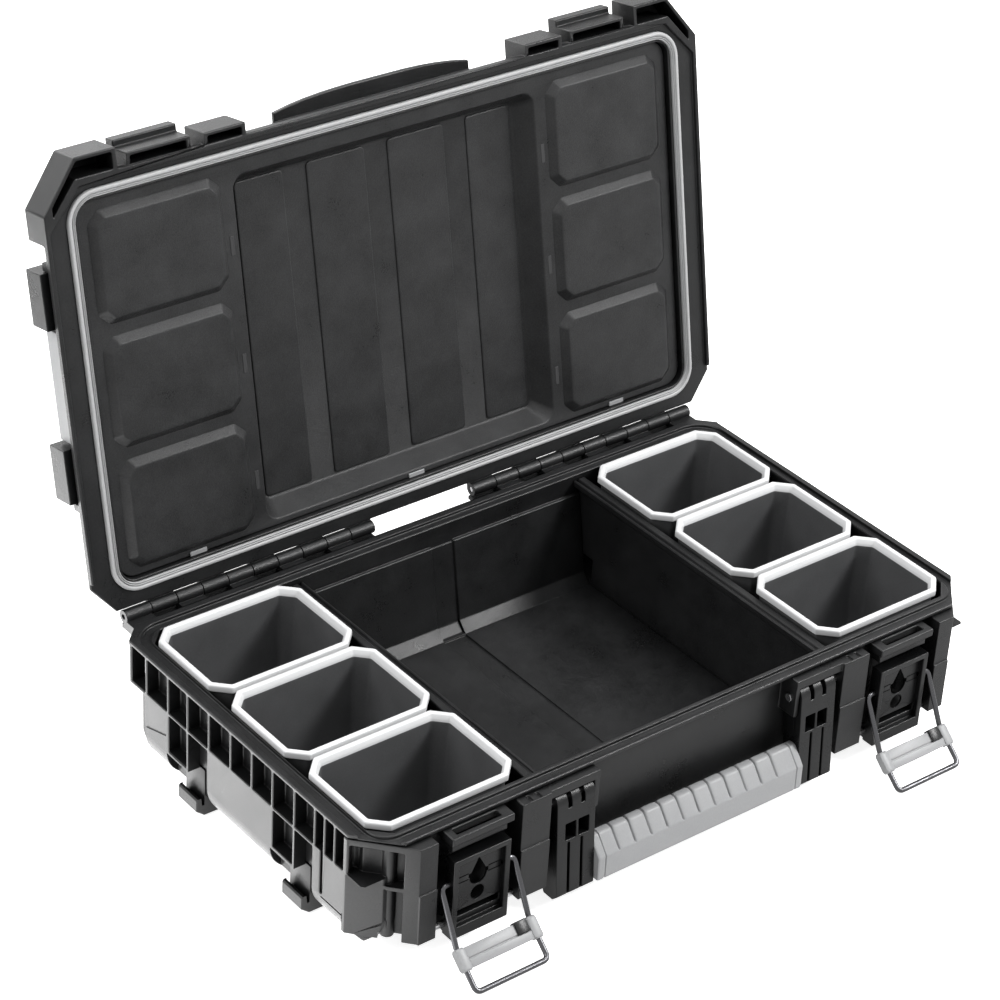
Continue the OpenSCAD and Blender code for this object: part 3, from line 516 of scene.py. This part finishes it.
def joined(parts):
    """Several point and face sets as one, each set's faces counted on from the last"""
    points, faces, start = [], [], 0
    for part_points, part_faces in parts:
        points.append(np.asarray(part_points, float))
        faces += [[start + i for i in face] for face in part_faces]
        start += len(part_points)
    return np.concatenate(points), faces


def open_lid(points):
    """Points of the closed lid turned about the hinge by q = LID_OPEN

    y' = y cos q + z sin q, z' = z cos q - y sin q, both measured from the hinge
    """
    points = np.asarray(points, float).reshape(-1, 3).copy()
    y, z = points[:, 1] - HINGE_Y / MM, points[:, 2] - HINGE_Z / MM
    c, s = math.cos(LID_OPEN), math.sin(LID_OPEN)
    points[:, 1] = HINGE_Y / MM + y * c + z * s
    points[:, 2] = HINGE_Z / MM - y * s + z * c
    return points


def solid_piece(name, form, slot, body, on_lid=False, node=None, sharp=32.0):
    """Object of a form in millimetres; it replaces a CAD node where one is named"""
    points, faces = form
    if on_lid:
        points = open_lid(points)
    piece = new_piece(name, np.asarray(points) * MM, faces, slot, body)
    merged = bmesh.new()
    merged.from_mesh(piece.data)
    bmesh.ops.remove_doubles(merged, verts=merged.verts, dist=NEW_MERGED)
    bmesh.ops.recalc_face_normals(merged, faces=merged.faces)
    merged.to_mesh(piece.data)
    merged.free()
    piece.data.set_sharp_from_angle(angle=math.radians(sharp))
    if node:
        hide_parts(node)
    return piece


# ---------- operators ----------

class CASE_OT_shells(bpy.types.Operator):
    """Base, lid and dividers with rounded moulded edges"""
    bl_idname = "case.shells"
    bl_label = "Shells"

    # Cut from the side wall outside this X: lengths along Y and the height up to which they go
    WALL_X = 258.05
    CELLS = ((-84.6, -64.0, 39.2), (-64.5, -36.6, 36.6), (38.4, 62.0, 39.2), (61.5, 88.4, 36.6))
    REAR_END = (115.4, 137.0, 69.0)
    CUT_FROM = 10.0
    # Cut from the front corners: an outline and its height
    CORNER = ((SIDE_X, -119.6), (SIDE_X, -141.0), (250.0, -141.0))
    CORNER_HEIGHT = (-1.0, 71.0)
    # Plate behind a latch, and the plugs of its lever's slot about the middle of the latch
    PLATE_X = (154.4, 221.6)
    PLATE_YZ = ((-143.5, 15.0), (-139.0, 98.0))
    PLUG_X = (-18.5, 8.0)
    PLUG_WIDTH = 10.5
    PLUG_YZ = ((-157.0, 57.2), (-154.0, 62.8))

    def openings(self):
        """Prisms to cut from both sides of the base"""
        cuts = []
        for sign in SIDES.values():
            x0, x1 = sign * SIDE_X, sign * self.WALL_X
            cuts += [(((x0, y0), (x1, y0), (x1, y1), (x0, y1)), self.CUT_FROM, top)
                     for y0, y1, top in (*self.CELLS, self.REAR_END)]
            cuts.append((tuple((sign * x, y) for x, y in self.CORNER), *self.CORNER_HEIGHT))
        return cuts

    def execute(self, context):
        for node in ("base_shell", "lid_shell", "divider_left", "divider_right"):
            moulded_copy(node, "shell", sizes().edge,
                         openings=self.openings() if node == "base_shell" else ())
        for side, sign in SIDES.items():
            (y0, z0), (y1, z1) = self.PLATE_YZ
            x0, x1 = sorted(sign * x for x in self.PLATE_X)
            solid_piece(f"recess_back_{side}", box((x0, y0, z0), (x1, y1, z1), 0.6),
                        "trim", body_of("base_shell"))
            (y0, z0), (y1, z1) = self.PLUG_YZ
            plugs = [box((sign * LATCH_X + x, y0, z0),
                         (sign * LATCH_X + x + self.PLUG_WIDTH, y1, z1), 0.1)
                     for x in self.PLUG_X]
            solid_piece(f"lever_fill_{side}", joined(plugs), "trim", body_of(f"lever_{side}"))
        return {"FINISHED"}


class CASE_OT_bins(bpy.types.Operator):
    """Six bins with a rolled rim, cut corners and tapering walls"""
    bl_idname = "case.bins"
    bl_label = "Bins"

    # Inset from the rim's outline, height, corner radius: outside up, over the rim, inside down
    PROFILE = ((19.6, 15.8, 6.0), (18.8, 16.1, 6.0), (6.9, 28.0, 5.0), (6.3, 29.4, 5.0),
               (2.5, 100.6, 3.0), (0.5, 100.6, 2.2), (0.1, 101.0, 2.2), (0.0, 101.6, 2.2),
               (0.0, 104.7, 2.2), (0.15, 105.35, 2.2), (0.5, 105.85, 2.2), (1.1, 106.2, 2.2),
               (3.0, 106.2, 2.2), (3.6, 106.0, 2.2), (4.1, 105.4, 2.4), (5.0, 103.0, 2.6),
               (5.4, 102.2, 3.0), (5.7, 99.0, 4.0), (6.3, 80.0, 5.5), (7.2, 55.0, 6.5),
               (8.2, 31.0, 7.5), (8.9, 29.2, 7.5), (10.2, 27.8, 7.5), (18.6, 19.6, 7.5),
               (20.0, 18.4, 7.5), (21.8, 17.8, 7.5))

    WIDTH, DEPTH = 118.5, 85.9
    MIDDLE_X = 194.5
    # Corner cut of the rim, what it loses per inset (2 less the root of 2), its least value
    CUT, CUT_LOSS, LEAST_CUT = 12.0, 0.586, 4.6

    def outline(self, inset, radius):
        """The rim's outline drawn in by an inset"""
        return cut_rectangle(self.WIDTH - 2 * inset, self.DEPTH - 2 * inset,
                             max(self.CUT - self.CUT_LOSS * inset, self.LEAST_CUT), radius, 6)

    def execute(self, context):
        for side, sign in SIDES.items():
            for row, step in ROWS.items():
                loops = [lift(self.outline(inset, radius), height)
                         + (sign * self.MIDDLE_X, step * ROW_STEP, 0.0)
                         for inset, height, radius in self.PROFILE]
                node = f"bin_{side}_{row}"
                solid_piece(node + "_form", loft(loops, True, True), "bin", body_of(node),
                            node=node, sharp=50.0)
        return {"FINISHED"}


class CASE_OT_liner(bpy.types.Operator):
    """Formed sheet in the lid: raised pads, a deep well and the panels in its floor"""
    bl_idname = "case.liner"
    bl_label = "Lid liner"

    # Heights in the closed lid: the sheet between the pads, and the floor of the well
    LEVEL, WELL = 108.0, 124.0
    # Pads: size, place, corner cut and its loss per inset, then insets and rises of the section
    PAD_WIDTH, PAD_DEPTH, PAD_X = 104.0, 80.0, 193.0
    PAD_CUT, CUT_LOSS = 8.5, 0.45
    PAD_RADIUS, RADIUS_LOSS = 5.0, 0.4
    PAD_SECTION = ((-0.8, -0.5), (-0.5, 0.0), (0.3, 0.5), (4.2, 4.45), (4.8, 4.85), (5.6, 5.0),
                   (7.5, 5.0))
    # Outlines (low corner, high corner): the sheet, the well, the panels in the well's floor
    SHEET = (-254.1, -138.0, 254.1, 134.9)
    SHEET_RADIUS, SHEET_LIP = 13.7, 0.6
    WELL_MOUTH = (-130.0, -126.0, 130.0, 130.0)
    PANEL_X, PANEL_Y = 119.5, (-115.5, 119.5)
    # Channels between the panels, and half their width
    CHANNELS, CHANNEL_HALF = (-69.5, 0.0, 69.5), 10.0
    # Slots beside the well
    SLOT_X, SLOT_Y, SLOT_HALF = 135.6, (-78.0, 8.0, 96.0), (1.6, 7.0)

    def pad(self, x, y):
        """Raised pad with sloping sides: cut outline shrinking up to the flat face"""
        loops = [lift(cut_rectangle(self.PAD_WIDTH - 2 * inset, self.PAD_DEPTH - 2 * inset,
                                    self.PAD_CUT - self.CUT_LOSS * inset,
                                    self.PAD_RADIUS - self.RADIUS_LOSS * inset, 8),
                      self.LEVEL - rise)
                 for inset, rise in self.PAD_SECTION]
        points, faces = loft(loops, False, True)
        return points + (x, y, 0.0), faces

    def drawn_in(self, corners, inset, radius, steps=10):
        """Outline between two corners, drawn in by an inset on all sides"""
        x0, y0, x1, y1 = corners
        return rounded_rectangle(x0 + inset, y0 + inset, x1 - inset, y1 - inset, radius, steps)

    def sheet(self):
        """The sheet's edge, its level part and the well's sides and floor in one skin"""
        outer = [self.drawn_in(self.SHEET, i, self.SHEET_RADIUS - i)
                 for i in (0.0, self.SHEET_LIP)]
        well = [(self.drawn_in(self.WELL_MOUTH, i, r), z)
                for i, r, z in ((-1.2, 11.0, self.LEVEL), (-0.3, 10.5, self.LEVEL + 0.35),
                                (0.3, 10.0, self.LEVEL + 1.2), (7.8, 7.0, self.WELL - 0.6),
                                (8.6, 6.5, self.WELL + 0.4), (9.6, 6.0, self.WELL + 1.1))]
        loops = [lift(outer[0], self.LEVEL + 2.0), lift(outer[0], self.LEVEL + 0.6),
                 lift(outer[1], self.LEVEL)] + [lift(o, z) for o, z in well]
        return loft(loops, False, True)

    def panels(self):
        """Raised panels in the well's floor, with a channel between neighbours"""
        starts = (-self.PANEL_X, *(x + self.CHANNEL_HALF for x in self.CHANNELS))
        ends = (*(x - self.CHANNEL_HALF for x in self.CHANNELS), self.PANEL_X)
        for x0, x1 in zip(starts, ends):
            corners = (x0, self.PANEL_Y[0], x1, self.PANEL_Y[1])
            yield loft([lift(self.drawn_in(corners, i, 3.0, 4), z)
                        for i, z in ((0.0, self.WELL + 1.3), (0.15, self.WELL + 0.3),
                                     (0.6, self.WELL), (1.4, self.WELL))], False, True)

    def execute(self, context):
        parts = [self.sheet(), *self.panels()]
        for sign in (-1, 1):
            for row in (-1, 0, 1):
                parts.append(self.pad(sign * self.PAD_X, row * ROW_STEP))
        solid_piece("liner_form", joined(parts), "liner", "lid", True, "lid_liner", 40.0)
        half_x, half_y = self.SLOT_HALF
        slots = [box((sign * self.SLOT_X - half_x, y - half_y, self.LEVEL - 0.25),
                     (sign * self.SLOT_X + half_x, y + half_y, self.LEVEL + 0.4), 0.2)
                 for sign in (-1, 1) for y in self.SLOT_Y]
        solid_piece("liner_slots", joined(slots), "foot", "lid", True, None, 30.0)
        return {"FINISHED"}


class CASE_OT_hooks(bpy.types.Operator):
    """Stacking hooks: a foot with a raised lip, and a thin dark web up the recessed wall that stands for
    the shade there (painted shade)
    """
    bl_idname = "case.hooks"
    bl_label = "Stacking hooks"

    # Distance in from this X, and height
    FROM_X = 268.0
    # From (8.6, 8.6) to (24.0, 15.0) the outline is a web on the recessed wall: a dark plate that paints
    # the shade of that recess
    OUTLINE = ((36.0, 13.0), (36.0, 5.0), (31.0, 0.1), (9.0, 0.1), (2.4, 5.5), (2.4, 14.6),
               (3.4, 15.6), (5.6, 15.6), (6.4, 9.0), (8.6, 8.6), (8.9, 24.0), (8.9, 39.0),
               (10.6, 39.0), (12.2, 36.0), (15.5, 24.0), (24.0, 15.0))
    MIDDLES = (66.5, -59.0)
    HALF_WIDTH = 11.5
    SOFT = 0.6

    def execute(self, context):
        outline = rounded_loop(self.OUTLINE, self.SOFT, 3)
        parts = []
        for sign in SIDES.values():
            for middle in self.MIDDLES:
                points, faces = extrude_y(outline, middle - self.HALF_WIDTH,
                                          middle + self.HALF_WIDTH, self.SOFT)
                points[:, 0] = sign * (self.FROM_X - points[:, 0])
                parts.append((points, faces))
        solid_piece("hooks_form", joined(parts), "trim", body_of("stacking_hooks"), False,
                    "stacking_hooks", 30.0)
        return {"FINISHED"}


class CASE_OT_seal(bpy.types.Operator):
    """Gasket of the lid: a soft cord with two fine lips inside it"""
    bl_idname = "case.seal"
    bl_label = "Seal"

    # Section: distance in from the cord's outline, and height in the closed lid
    SECTION = ((0.1, 105.9), (0.0, 102.2), (0.25, 101.5), (0.9, 101.15), (1.7, 101.1),
               (2.5, 101.3), (2.9, 101.9), (3.05, 102.9), (3.5, 102.9), (3.6, 101.9),
               (3.95, 101.6), (4.3, 101.9), (4.4, 102.9), (4.85, 102.9), (4.95, 102.1),
               (5.3, 101.8), (5.65, 102.1), (5.75, 102.9), (5.8, 105.9))
    HALF_WIDTH, FRONT, REAR, CORNER = 262.6, -146.5, 143.4, 22.0

    def execute(self, context):
        loops = [lift(rounded_rectangle(-self.HALF_WIDTH + i, self.FRONT + i, self.HALF_WIDTH - i,
                                        self.REAR - i, self.CORNER - i, 16), z)
                 for i, z in self.SECTION]
        loops.append(loops[0])
        solid_piece("seal_form", loft(loops), "seal", "lid", True, "lid_gasket", 60.0)
        return {"FINISHED"}


class CASE_OT_handle(bpy.types.Operator):
    """Grip with grooves across its upper faces and rings near its ends"""
    bl_idname = "case.handle"
    bl_label = "Handle"

    # Section as (y, z) points, and the radius of each corner
    SECTION = ((-150.5, 14.0), (-146.5, 18.0), (-146.5, 41.0), (-150.5, 46.0), (-155.5, 46.0),
               (-166.0, 33.0), (-166.0, 14.0))
    RADII = (2.5, 3.0, 3.0, 3.0, 4.0, 3.0, 1.2)
    HALF_LENGTH = 92.0
    # Grooves: step along X and shift, height above which they fade in, and the reach along X
    STEP, SHIFT = 14.2, 3.0
    FADE_FROM, FADE = 32.6, 1.2
    GROOVED_HALF = 80.0
    # Rings near the ends, with the stations that show their edges
    RING_X = 86.0
    STATIONS = (-86, -84, 84, 86)

    def groove_depth(self, x, z):
        """Depth d(x, z) of the grooves and rings

        p = distance of x from the nearest groove; d = f(z) (1.5 exp(-(p / 0.6)^4)
        + 0.5 exp(-(p / 1.6)^2)) with f fading in above a height; a ring at c adds
        0.8 exp(-((x - c) / 0.6)^4) and the ends 0.7 exp(-((|x| - 92.3) / 0.8)^2)
        """
        phase = np.abs((x + self.SHIFT) / self.STEP - np.round((x + self.SHIFT) / self.STEP))
        phase = phase * self.STEP
        fade = np.clip((z - self.FADE_FROM) / self.FADE, 0, 1)
        depth = 1.5 * np.exp(-(phase / 0.6) ** 4) * fade + 0.5 * np.exp(-(phase / 1.6) ** 2) * fade
        depth *= np.abs(x) < self.GROOVED_HALF
        for ring in (-self.RING_X, self.RING_X):
            depth += 0.8 * np.exp(-((x - ring) / 0.6) ** 4)
        return depth + 0.7 * np.exp(-((np.abs(x) - self.HALF_LENGTH - 0.3) / 0.8) ** 2)

    def execute(self, context):
        section = rounded_loop(self.SECTION, self.RADII, 6)
        centre = section.mean(0)
        x = np.unique(np.concatenate((
            np.linspace(-self.HALF_LENGTH, self.HALF_LENGTH, 461),
            *[np.linspace(e - 1.2, e + 1.2, 9) for e in self.STATIONS])))[:, None]
        y, z = section[:, 0][None], section[:, 1][None]
        scale = 1.0 - self.groove_depth(x, z) / np.hypot(y - centre[0], z - centre[1])
        rings = np.stack((np.repeat(x, len(section), 1),
                          centre[0] + (y - centre[0]) * scale,
                          centre[1] + (z - centre[1]) * scale), 2)
        solid_piece("grip_form", loft(rings, True, True), "grip", "handle", False,
                    "handle_grip", 50.0)
        return {"FINISHED"}


# Bail seen from the side: ends of the straight legs as (y, z), in millimetres
BAIL_START, BAIL_KNEE, BAIL_TIP = np.array(((-156.0, 60.0), (-175.0, 22.0), (-198.0, 2.0)))


def bail_path(sign):
    """Centre line of a bail: hook, upper leg, knee, lower leg and the closed end"""
    hook_x, leg_x = 20.5, 29.5
    bend, knee_bend = 4.5, 8.0

    def arc(corner, into, out, r, steps=8):
        """Rounded corner between unit directions: p - t a (1 - s)^2 + t b s^2"""
        t = r * math.tan(0.5 * math.acos(float(np.clip(into @ out, -1, 1))))
        s = np.linspace(0, 1, steps)[:, None]
        return corner - t * into * (1 - s) ** 2 + t * out * s ** 2

    x = np.array((1.0, 0.0, 0.0))
    upper = np.array((0.0, *(BAIL_KNEE - BAIL_START)))
    lower = np.array((0.0, *(BAIL_TIP - BAIL_KNEE)))
    upper /= np.linalg.norm(upper)
    lower /= np.linalg.norm(lower)
    half = np.concatenate(([(hook_x, *BAIL_START)],
                           arc(np.array((leg_x, *BAIL_START)), x, upper, bend),
                           arc(np.array((leg_x, *BAIL_KNEE)), upper, lower, knee_bend),
                           arc(np.array((leg_x, *BAIL_TIP)), lower, -x, bend)))
    other = half[::-1] * (-1.0, 1.0, 1.0)
    return np.concatenate((half, other)) + (sign * LATCH_X, 0.0, 0.0)


class CASE_OT_latches(bpy.types.Operator):
    """Wire bails and their finger tabs"""
    bl_idname = "case.latches"
    bl_label = "Latches"

    # Sections of the tab, as (distance down the leg, distance out): strip, end collars, end block
    STRIP = ((1.0, -2.6), (15.0, -2.6), (15.0, 2.2), (9.4, 2.6), (9.1, 1.8), (8.3, 1.8),
             (8.0, 2.6), (1.0, 2.6))
    COLLAR = ((0.2, -3.3), (15.8, -3.3), (15.8, 3.3), (0.2, 3.3))
    BLOCK = ((0.0, -2.0), (9.0, -2.0), (9.0, 4.0), (0.0, 4.0))
    WIRE_SIDES, WIRE_AXIS = 20, (0.31, 0.42, -0.85)

    def across(self, outline, x0, x1, soft):
        """Prism along X over a section of the lower leg, its ends drawn in by soft / 6"""
        down = BAIL_TIP - BAIL_KNEE
        down /= np.linalg.norm(down)
        out = np.array((down[1], -down[0]))
        rings = []
        middle = outline.mean(0)
        for x, inset in ((x0, soft), (x0 + soft, 0.0), (x1 - soft, 0.0), (x1, soft)):
            ring = outline - (outline - middle) * inset / 6.0
            yz = BAIL_KNEE + ring[:, :1] * down + ring[:, 1:] * out
            rings.append(np.column_stack((np.full(len(yz), x), yz)))
        return loft(rings, True, True)

    def tab(self):
        """Tab between the legs below the knee, with a groove along it, and its dark end block"""
        strip = rounded_loop(self.STRIP, 0.25, 3)
        collar = rounded_loop(self.COLLAR, 1.6, 6)
        block = rounded_loop(self.BLOCK, 0.6, 4)
        return (joined([self.across(strip, -28.0, 28.0, 0.3),
                        self.across(collar, -32.6, -25.5, 0.8),
                        self.across(collar, 25.5, 32.6, 0.8)]),
                self.across(block, 15.0, 24.5, 0.5))

    def execute(self, context):
        tab, block = self.tab()
        for side, sign in SIDES.items():
            wire = tube(bail_path(sign), round(sizes().wire_radius / MM, 4), self.WIRE_SIDES,
                        self.WIRE_AXIS)
            solid_piece(f"wire_{side}", wire, "wire", f"bail_{side}_body", False,
                        f"bail_{side}", 60.0)
            for name, form, slot in ((f"tab_{side}", tab, "grip"),
                                     (f"tab_end_{side}", block, "trim")):
                points, faces = form
                solid_piece(name, (points + (sign * LATCH_X, 0.0, 0.0), faces), slot,
                            f"bail_{side}_body", False,
                            f"bail_tab_{side}" if slot == "grip" else None, 30.0)
        return {"FINISHED"}


class CASE_OT_plain(bpy.types.Operator):
    """Small pieces"""
    bl_idname = "case.plain"
    bl_label = "Small pieces"

    def execute(self, context):
        slots = {s["node"]: s["material_slot"] for s in frame["record"]["subparts"]}
        for node, obj in frame["nodes"].items():
            if not obj.hide_render:
                moulded_copy(node, slots[node], sizes().fine_edge)
        return {"FINISHED"}


class CASE_OT_stage(bpy.types.Operator):
    """White floor and backdrop, soft lamps and the camera"""
    bl_idname = "case.stage"
    bl_label = "Stage"

    FLOOR_REACH, FLOOR_Z = 40.0, -0.0004
    # Colour of the floor, and its colour for rays off glossy pieces, which see its glow instead
    FLOOR, FLOOR_MIRRORED = (0.92, 0.92, 0.92), (0.08, 0.08, 0.08)
    FLOOR_ROUGH, FLOOR_GLOW = 0.9, 0.85
    # Painted reflection: strip of floor that the left wall mirrors, glowing brighter than white for glossy
    # rays only so that the wall shows a sheen; it fades in and out along X, and in along Y
    STRIP_IN, STRIP_OUT, STRIP_Y = (-0.55, -0.42), (-0.30, -0.22), (-0.31, -0.10)
    SHEEN_STRIP_GLOW = 5.0
    # Strength of the surroundings as a light, and as they are seen
    SKY_LIGHT, SKY_SEEN = 0.25, 1.0
    # Name, place, size and power of each lamp, and the point at which all of them are aimed
    LAMPS = (("left", (-2.1, 0.4, 1.7), (1.8, 1.4), 42.0),
             ("top", (0.3, 0.1, 2.4), (1.6, 1.0), 34.0),
             ("front_right", (1.7, -1.5, 2.0), (1.0, 0.7), 84.0),
             ("behind", (-0.2, 2.6, 1.7), (3.0, 1.2), 60.0))
    AIM = (0.0, 0.05, 0.12)

    @staticmethod
    def sees_background(nodes):
        """Whether a ray sees the background (camera, gloss, glass), and whether it left gloss"""
        rays = nodes.add("ShaderNodeLightPath").outputs
        glossy = rays["Is Glossy Ray"]
        return nodes.any_of(rays["Is Camera Ray"], glossy, rays["Is Transmission Ray"]), glossy

    def floor_white(self):
        """White floor that shows as the pale background, with a painted reflection: a strip beside the left
        wall glows for glossy rays only
        """
        m = Nodes("floor_white")
        seen, glossy = self.sees_background(m)
        axes = m.add("ShaderNodeSeparateXYZ", {0: m.place()}).outputs
        # Painted reflection: the strip glows for glossy rays only, to put a sheen on the left wall
        strip = m.math("MULTIPLY", m.math("MULTIPLY", m.ramp(axes[0], *self.STRIP_IN),
                                          m.ramp(axes[0], *self.STRIP_OUT, 1.0, 0.0)),
                       m.ramp(axes[1], *self.STRIP_Y))
        painted_sheen = m.math("MULTIPLY", glossy, m.math("MULTIPLY", strip, self.SHEEN_STRIP_GLOW))
        m.set(Base_Color=m.mix(glossy, self.FLOOR, self.FLOOR_MIRRORED),
              Roughness=self.FLOOR_ROUGH)
        glow = m.add("ShaderNodeEmission", {"Color": (1, 1, 1, 1), "Strength": m.math(
            "ADD", painted_sheen, m.math("MULTIPLY", seen, self.FLOOR_GLOW))})
        both = m.add("ShaderNodeAddShader", {0: glow.outputs[0], 1: m.bsdf.outputs[0]})
        m.put(m.tree.nodes["Material Output"].inputs["Surface"], both.outputs[0])
        return m.owner

    def floor(self, scene):
        """Square just below the case's feet"""
        mesh = bpy.data.meshes.new("floor")
        reach, z = self.FLOOR_REACH, self.FLOOR_Z
        mesh.from_pydata([(-reach, -reach, z), (reach, -reach, z), (reach, reach, z),
                          (-reach, reach, z)], [], [(0, 1, 2, 3)])
        plane = bpy.data.objects.new("floor", mesh)
        scene.collection.objects.link(plane)
        mesh.materials.append(self.floor_white())

    def surroundings(self, scene):
        """White world, dim as a light"""
        w = Nodes("studio", "worlds")
        scene.world = w.owner
        back = w.tree.nodes["Background"].inputs
        w.put(back["Color"], (1, 1, 1, 1))
        w.put(back["Strength"], w.ramp(self.sees_background(w)[0], 0.0, 1.0, self.SKY_LIGHT, self.SKY_SEEN))

    def lamps(self, scene):
        """Large soft lamps round the case"""
        for name, spot, size, power in self.LAMPS:
            lamp = bpy.data.lights.new(name, "AREA")
            lamp.shape = "RECTANGLE"
            lamp.size, lamp.size_y = size
            lamp.energy = power
            light = bpy.data.objects.new(name, lamp)
            light.location = spot
            aim = Vector(self.AIM) - Vector(spot)
            light.rotation_euler = aim.to_track_quat("-Z", "Y").to_euler()
            scene.collection.objects.link(light)

    def camera(self, scene):
        """Camera at target + distance b, b the way back from the target

        b = (sin a cos e, -cos a cos e, sin e), with right and up turned about b by the roll
        """
        cam = bpy.data.cameras.new("photo_view")
        cam.lens = VIEW_LENS
        cam.sensor_width = 36.0
        cam.clip_end = 200.0
        camera = bpy.data.objects.new("photo_view", cam)
        back_dir = Vector((math.sin(VIEW_AZIMUTH) * math.cos(VIEW_ELEVATION),
                           -math.cos(VIEW_AZIMUTH) * math.cos(VIEW_ELEVATION),
                           math.sin(VIEW_ELEVATION)))
        right = Vector((0, 0, 1)).cross(back_dir).normalized()
        up = back_dir.cross(right)
        x = math.cos(VIEW_ROLL) * right + math.sin(VIEW_ROLL) * up
        y = -math.sin(VIEW_ROLL) * right + math.cos(VIEW_ROLL) * up
        turn = Matrix((x, y, back_dir)).transposed().to_4x4()
        camera.matrix_world = Matrix.Translation(
            Vector(VIEW_TARGET) + VIEW_DISTANCE * back_dir) @ turn
        scene.collection.objects.link(camera)
        scene.camera = camera

    def execute(self, context):
        scene = context.scene
        self.floor(scene)
        self.surroundings(scene)
        self.lamps(scene)
        self.camera(scene)
        scene.view_settings.view_transform = "Standard"
        return {"FINISHED"}


class CASE_PT_panel(bpy.types.Panel):
    """Buttons and values of the tool case"""
    bl_idname = "CASE_PT_panel"
    bl_label = "Tool case"
    bl_space_type = "VIEW_3D"
    bl_region_type = "UI"
    bl_category = "Tool case"

    def draw(self, context):
        for operator in OPERATORS:
            self.layout.operator(operator.bl_idname)
        for group in (context.scene.case_finish, context.scene.case_sizes):
            for key in group.bl_rna.properties.keys():
                if key not in ("rna_type", "name"):
                    self.layout.prop(group, key)


OPERATORS = (CASE_OT_shells, CASE_OT_hooks, CASE_OT_bins, CASE_OT_liner, CASE_OT_seal,
             CASE_OT_handle, CASE_OT_latches, CASE_OT_plain, CASE_OT_stage)
CLASSES = (CaseFinish, CaseSizes, *OPERATORS, CASE_PT_panel)


def register():
    for cls in CLASSES:
        bpy.utils.register_class(cls)
    bpy.types.Scene.case_finish = PointerProperty(type=CaseFinish)
    bpy.types.Scene.case_sizes = PointerProperty(type=CaseSizes)


def unregister():
    del bpy.types.Scene.case_finish
    del bpy.types.Scene.case_sizes
    for cls in reversed(CLASSES):
        bpy.utils.unregister_class(cls)


def main():
    register()
    for operator in OPERATORS:
        getattr(bpy.ops.case, operator.bl_idname.split(".")[1])()


if __name__ == "__main__":
    main()
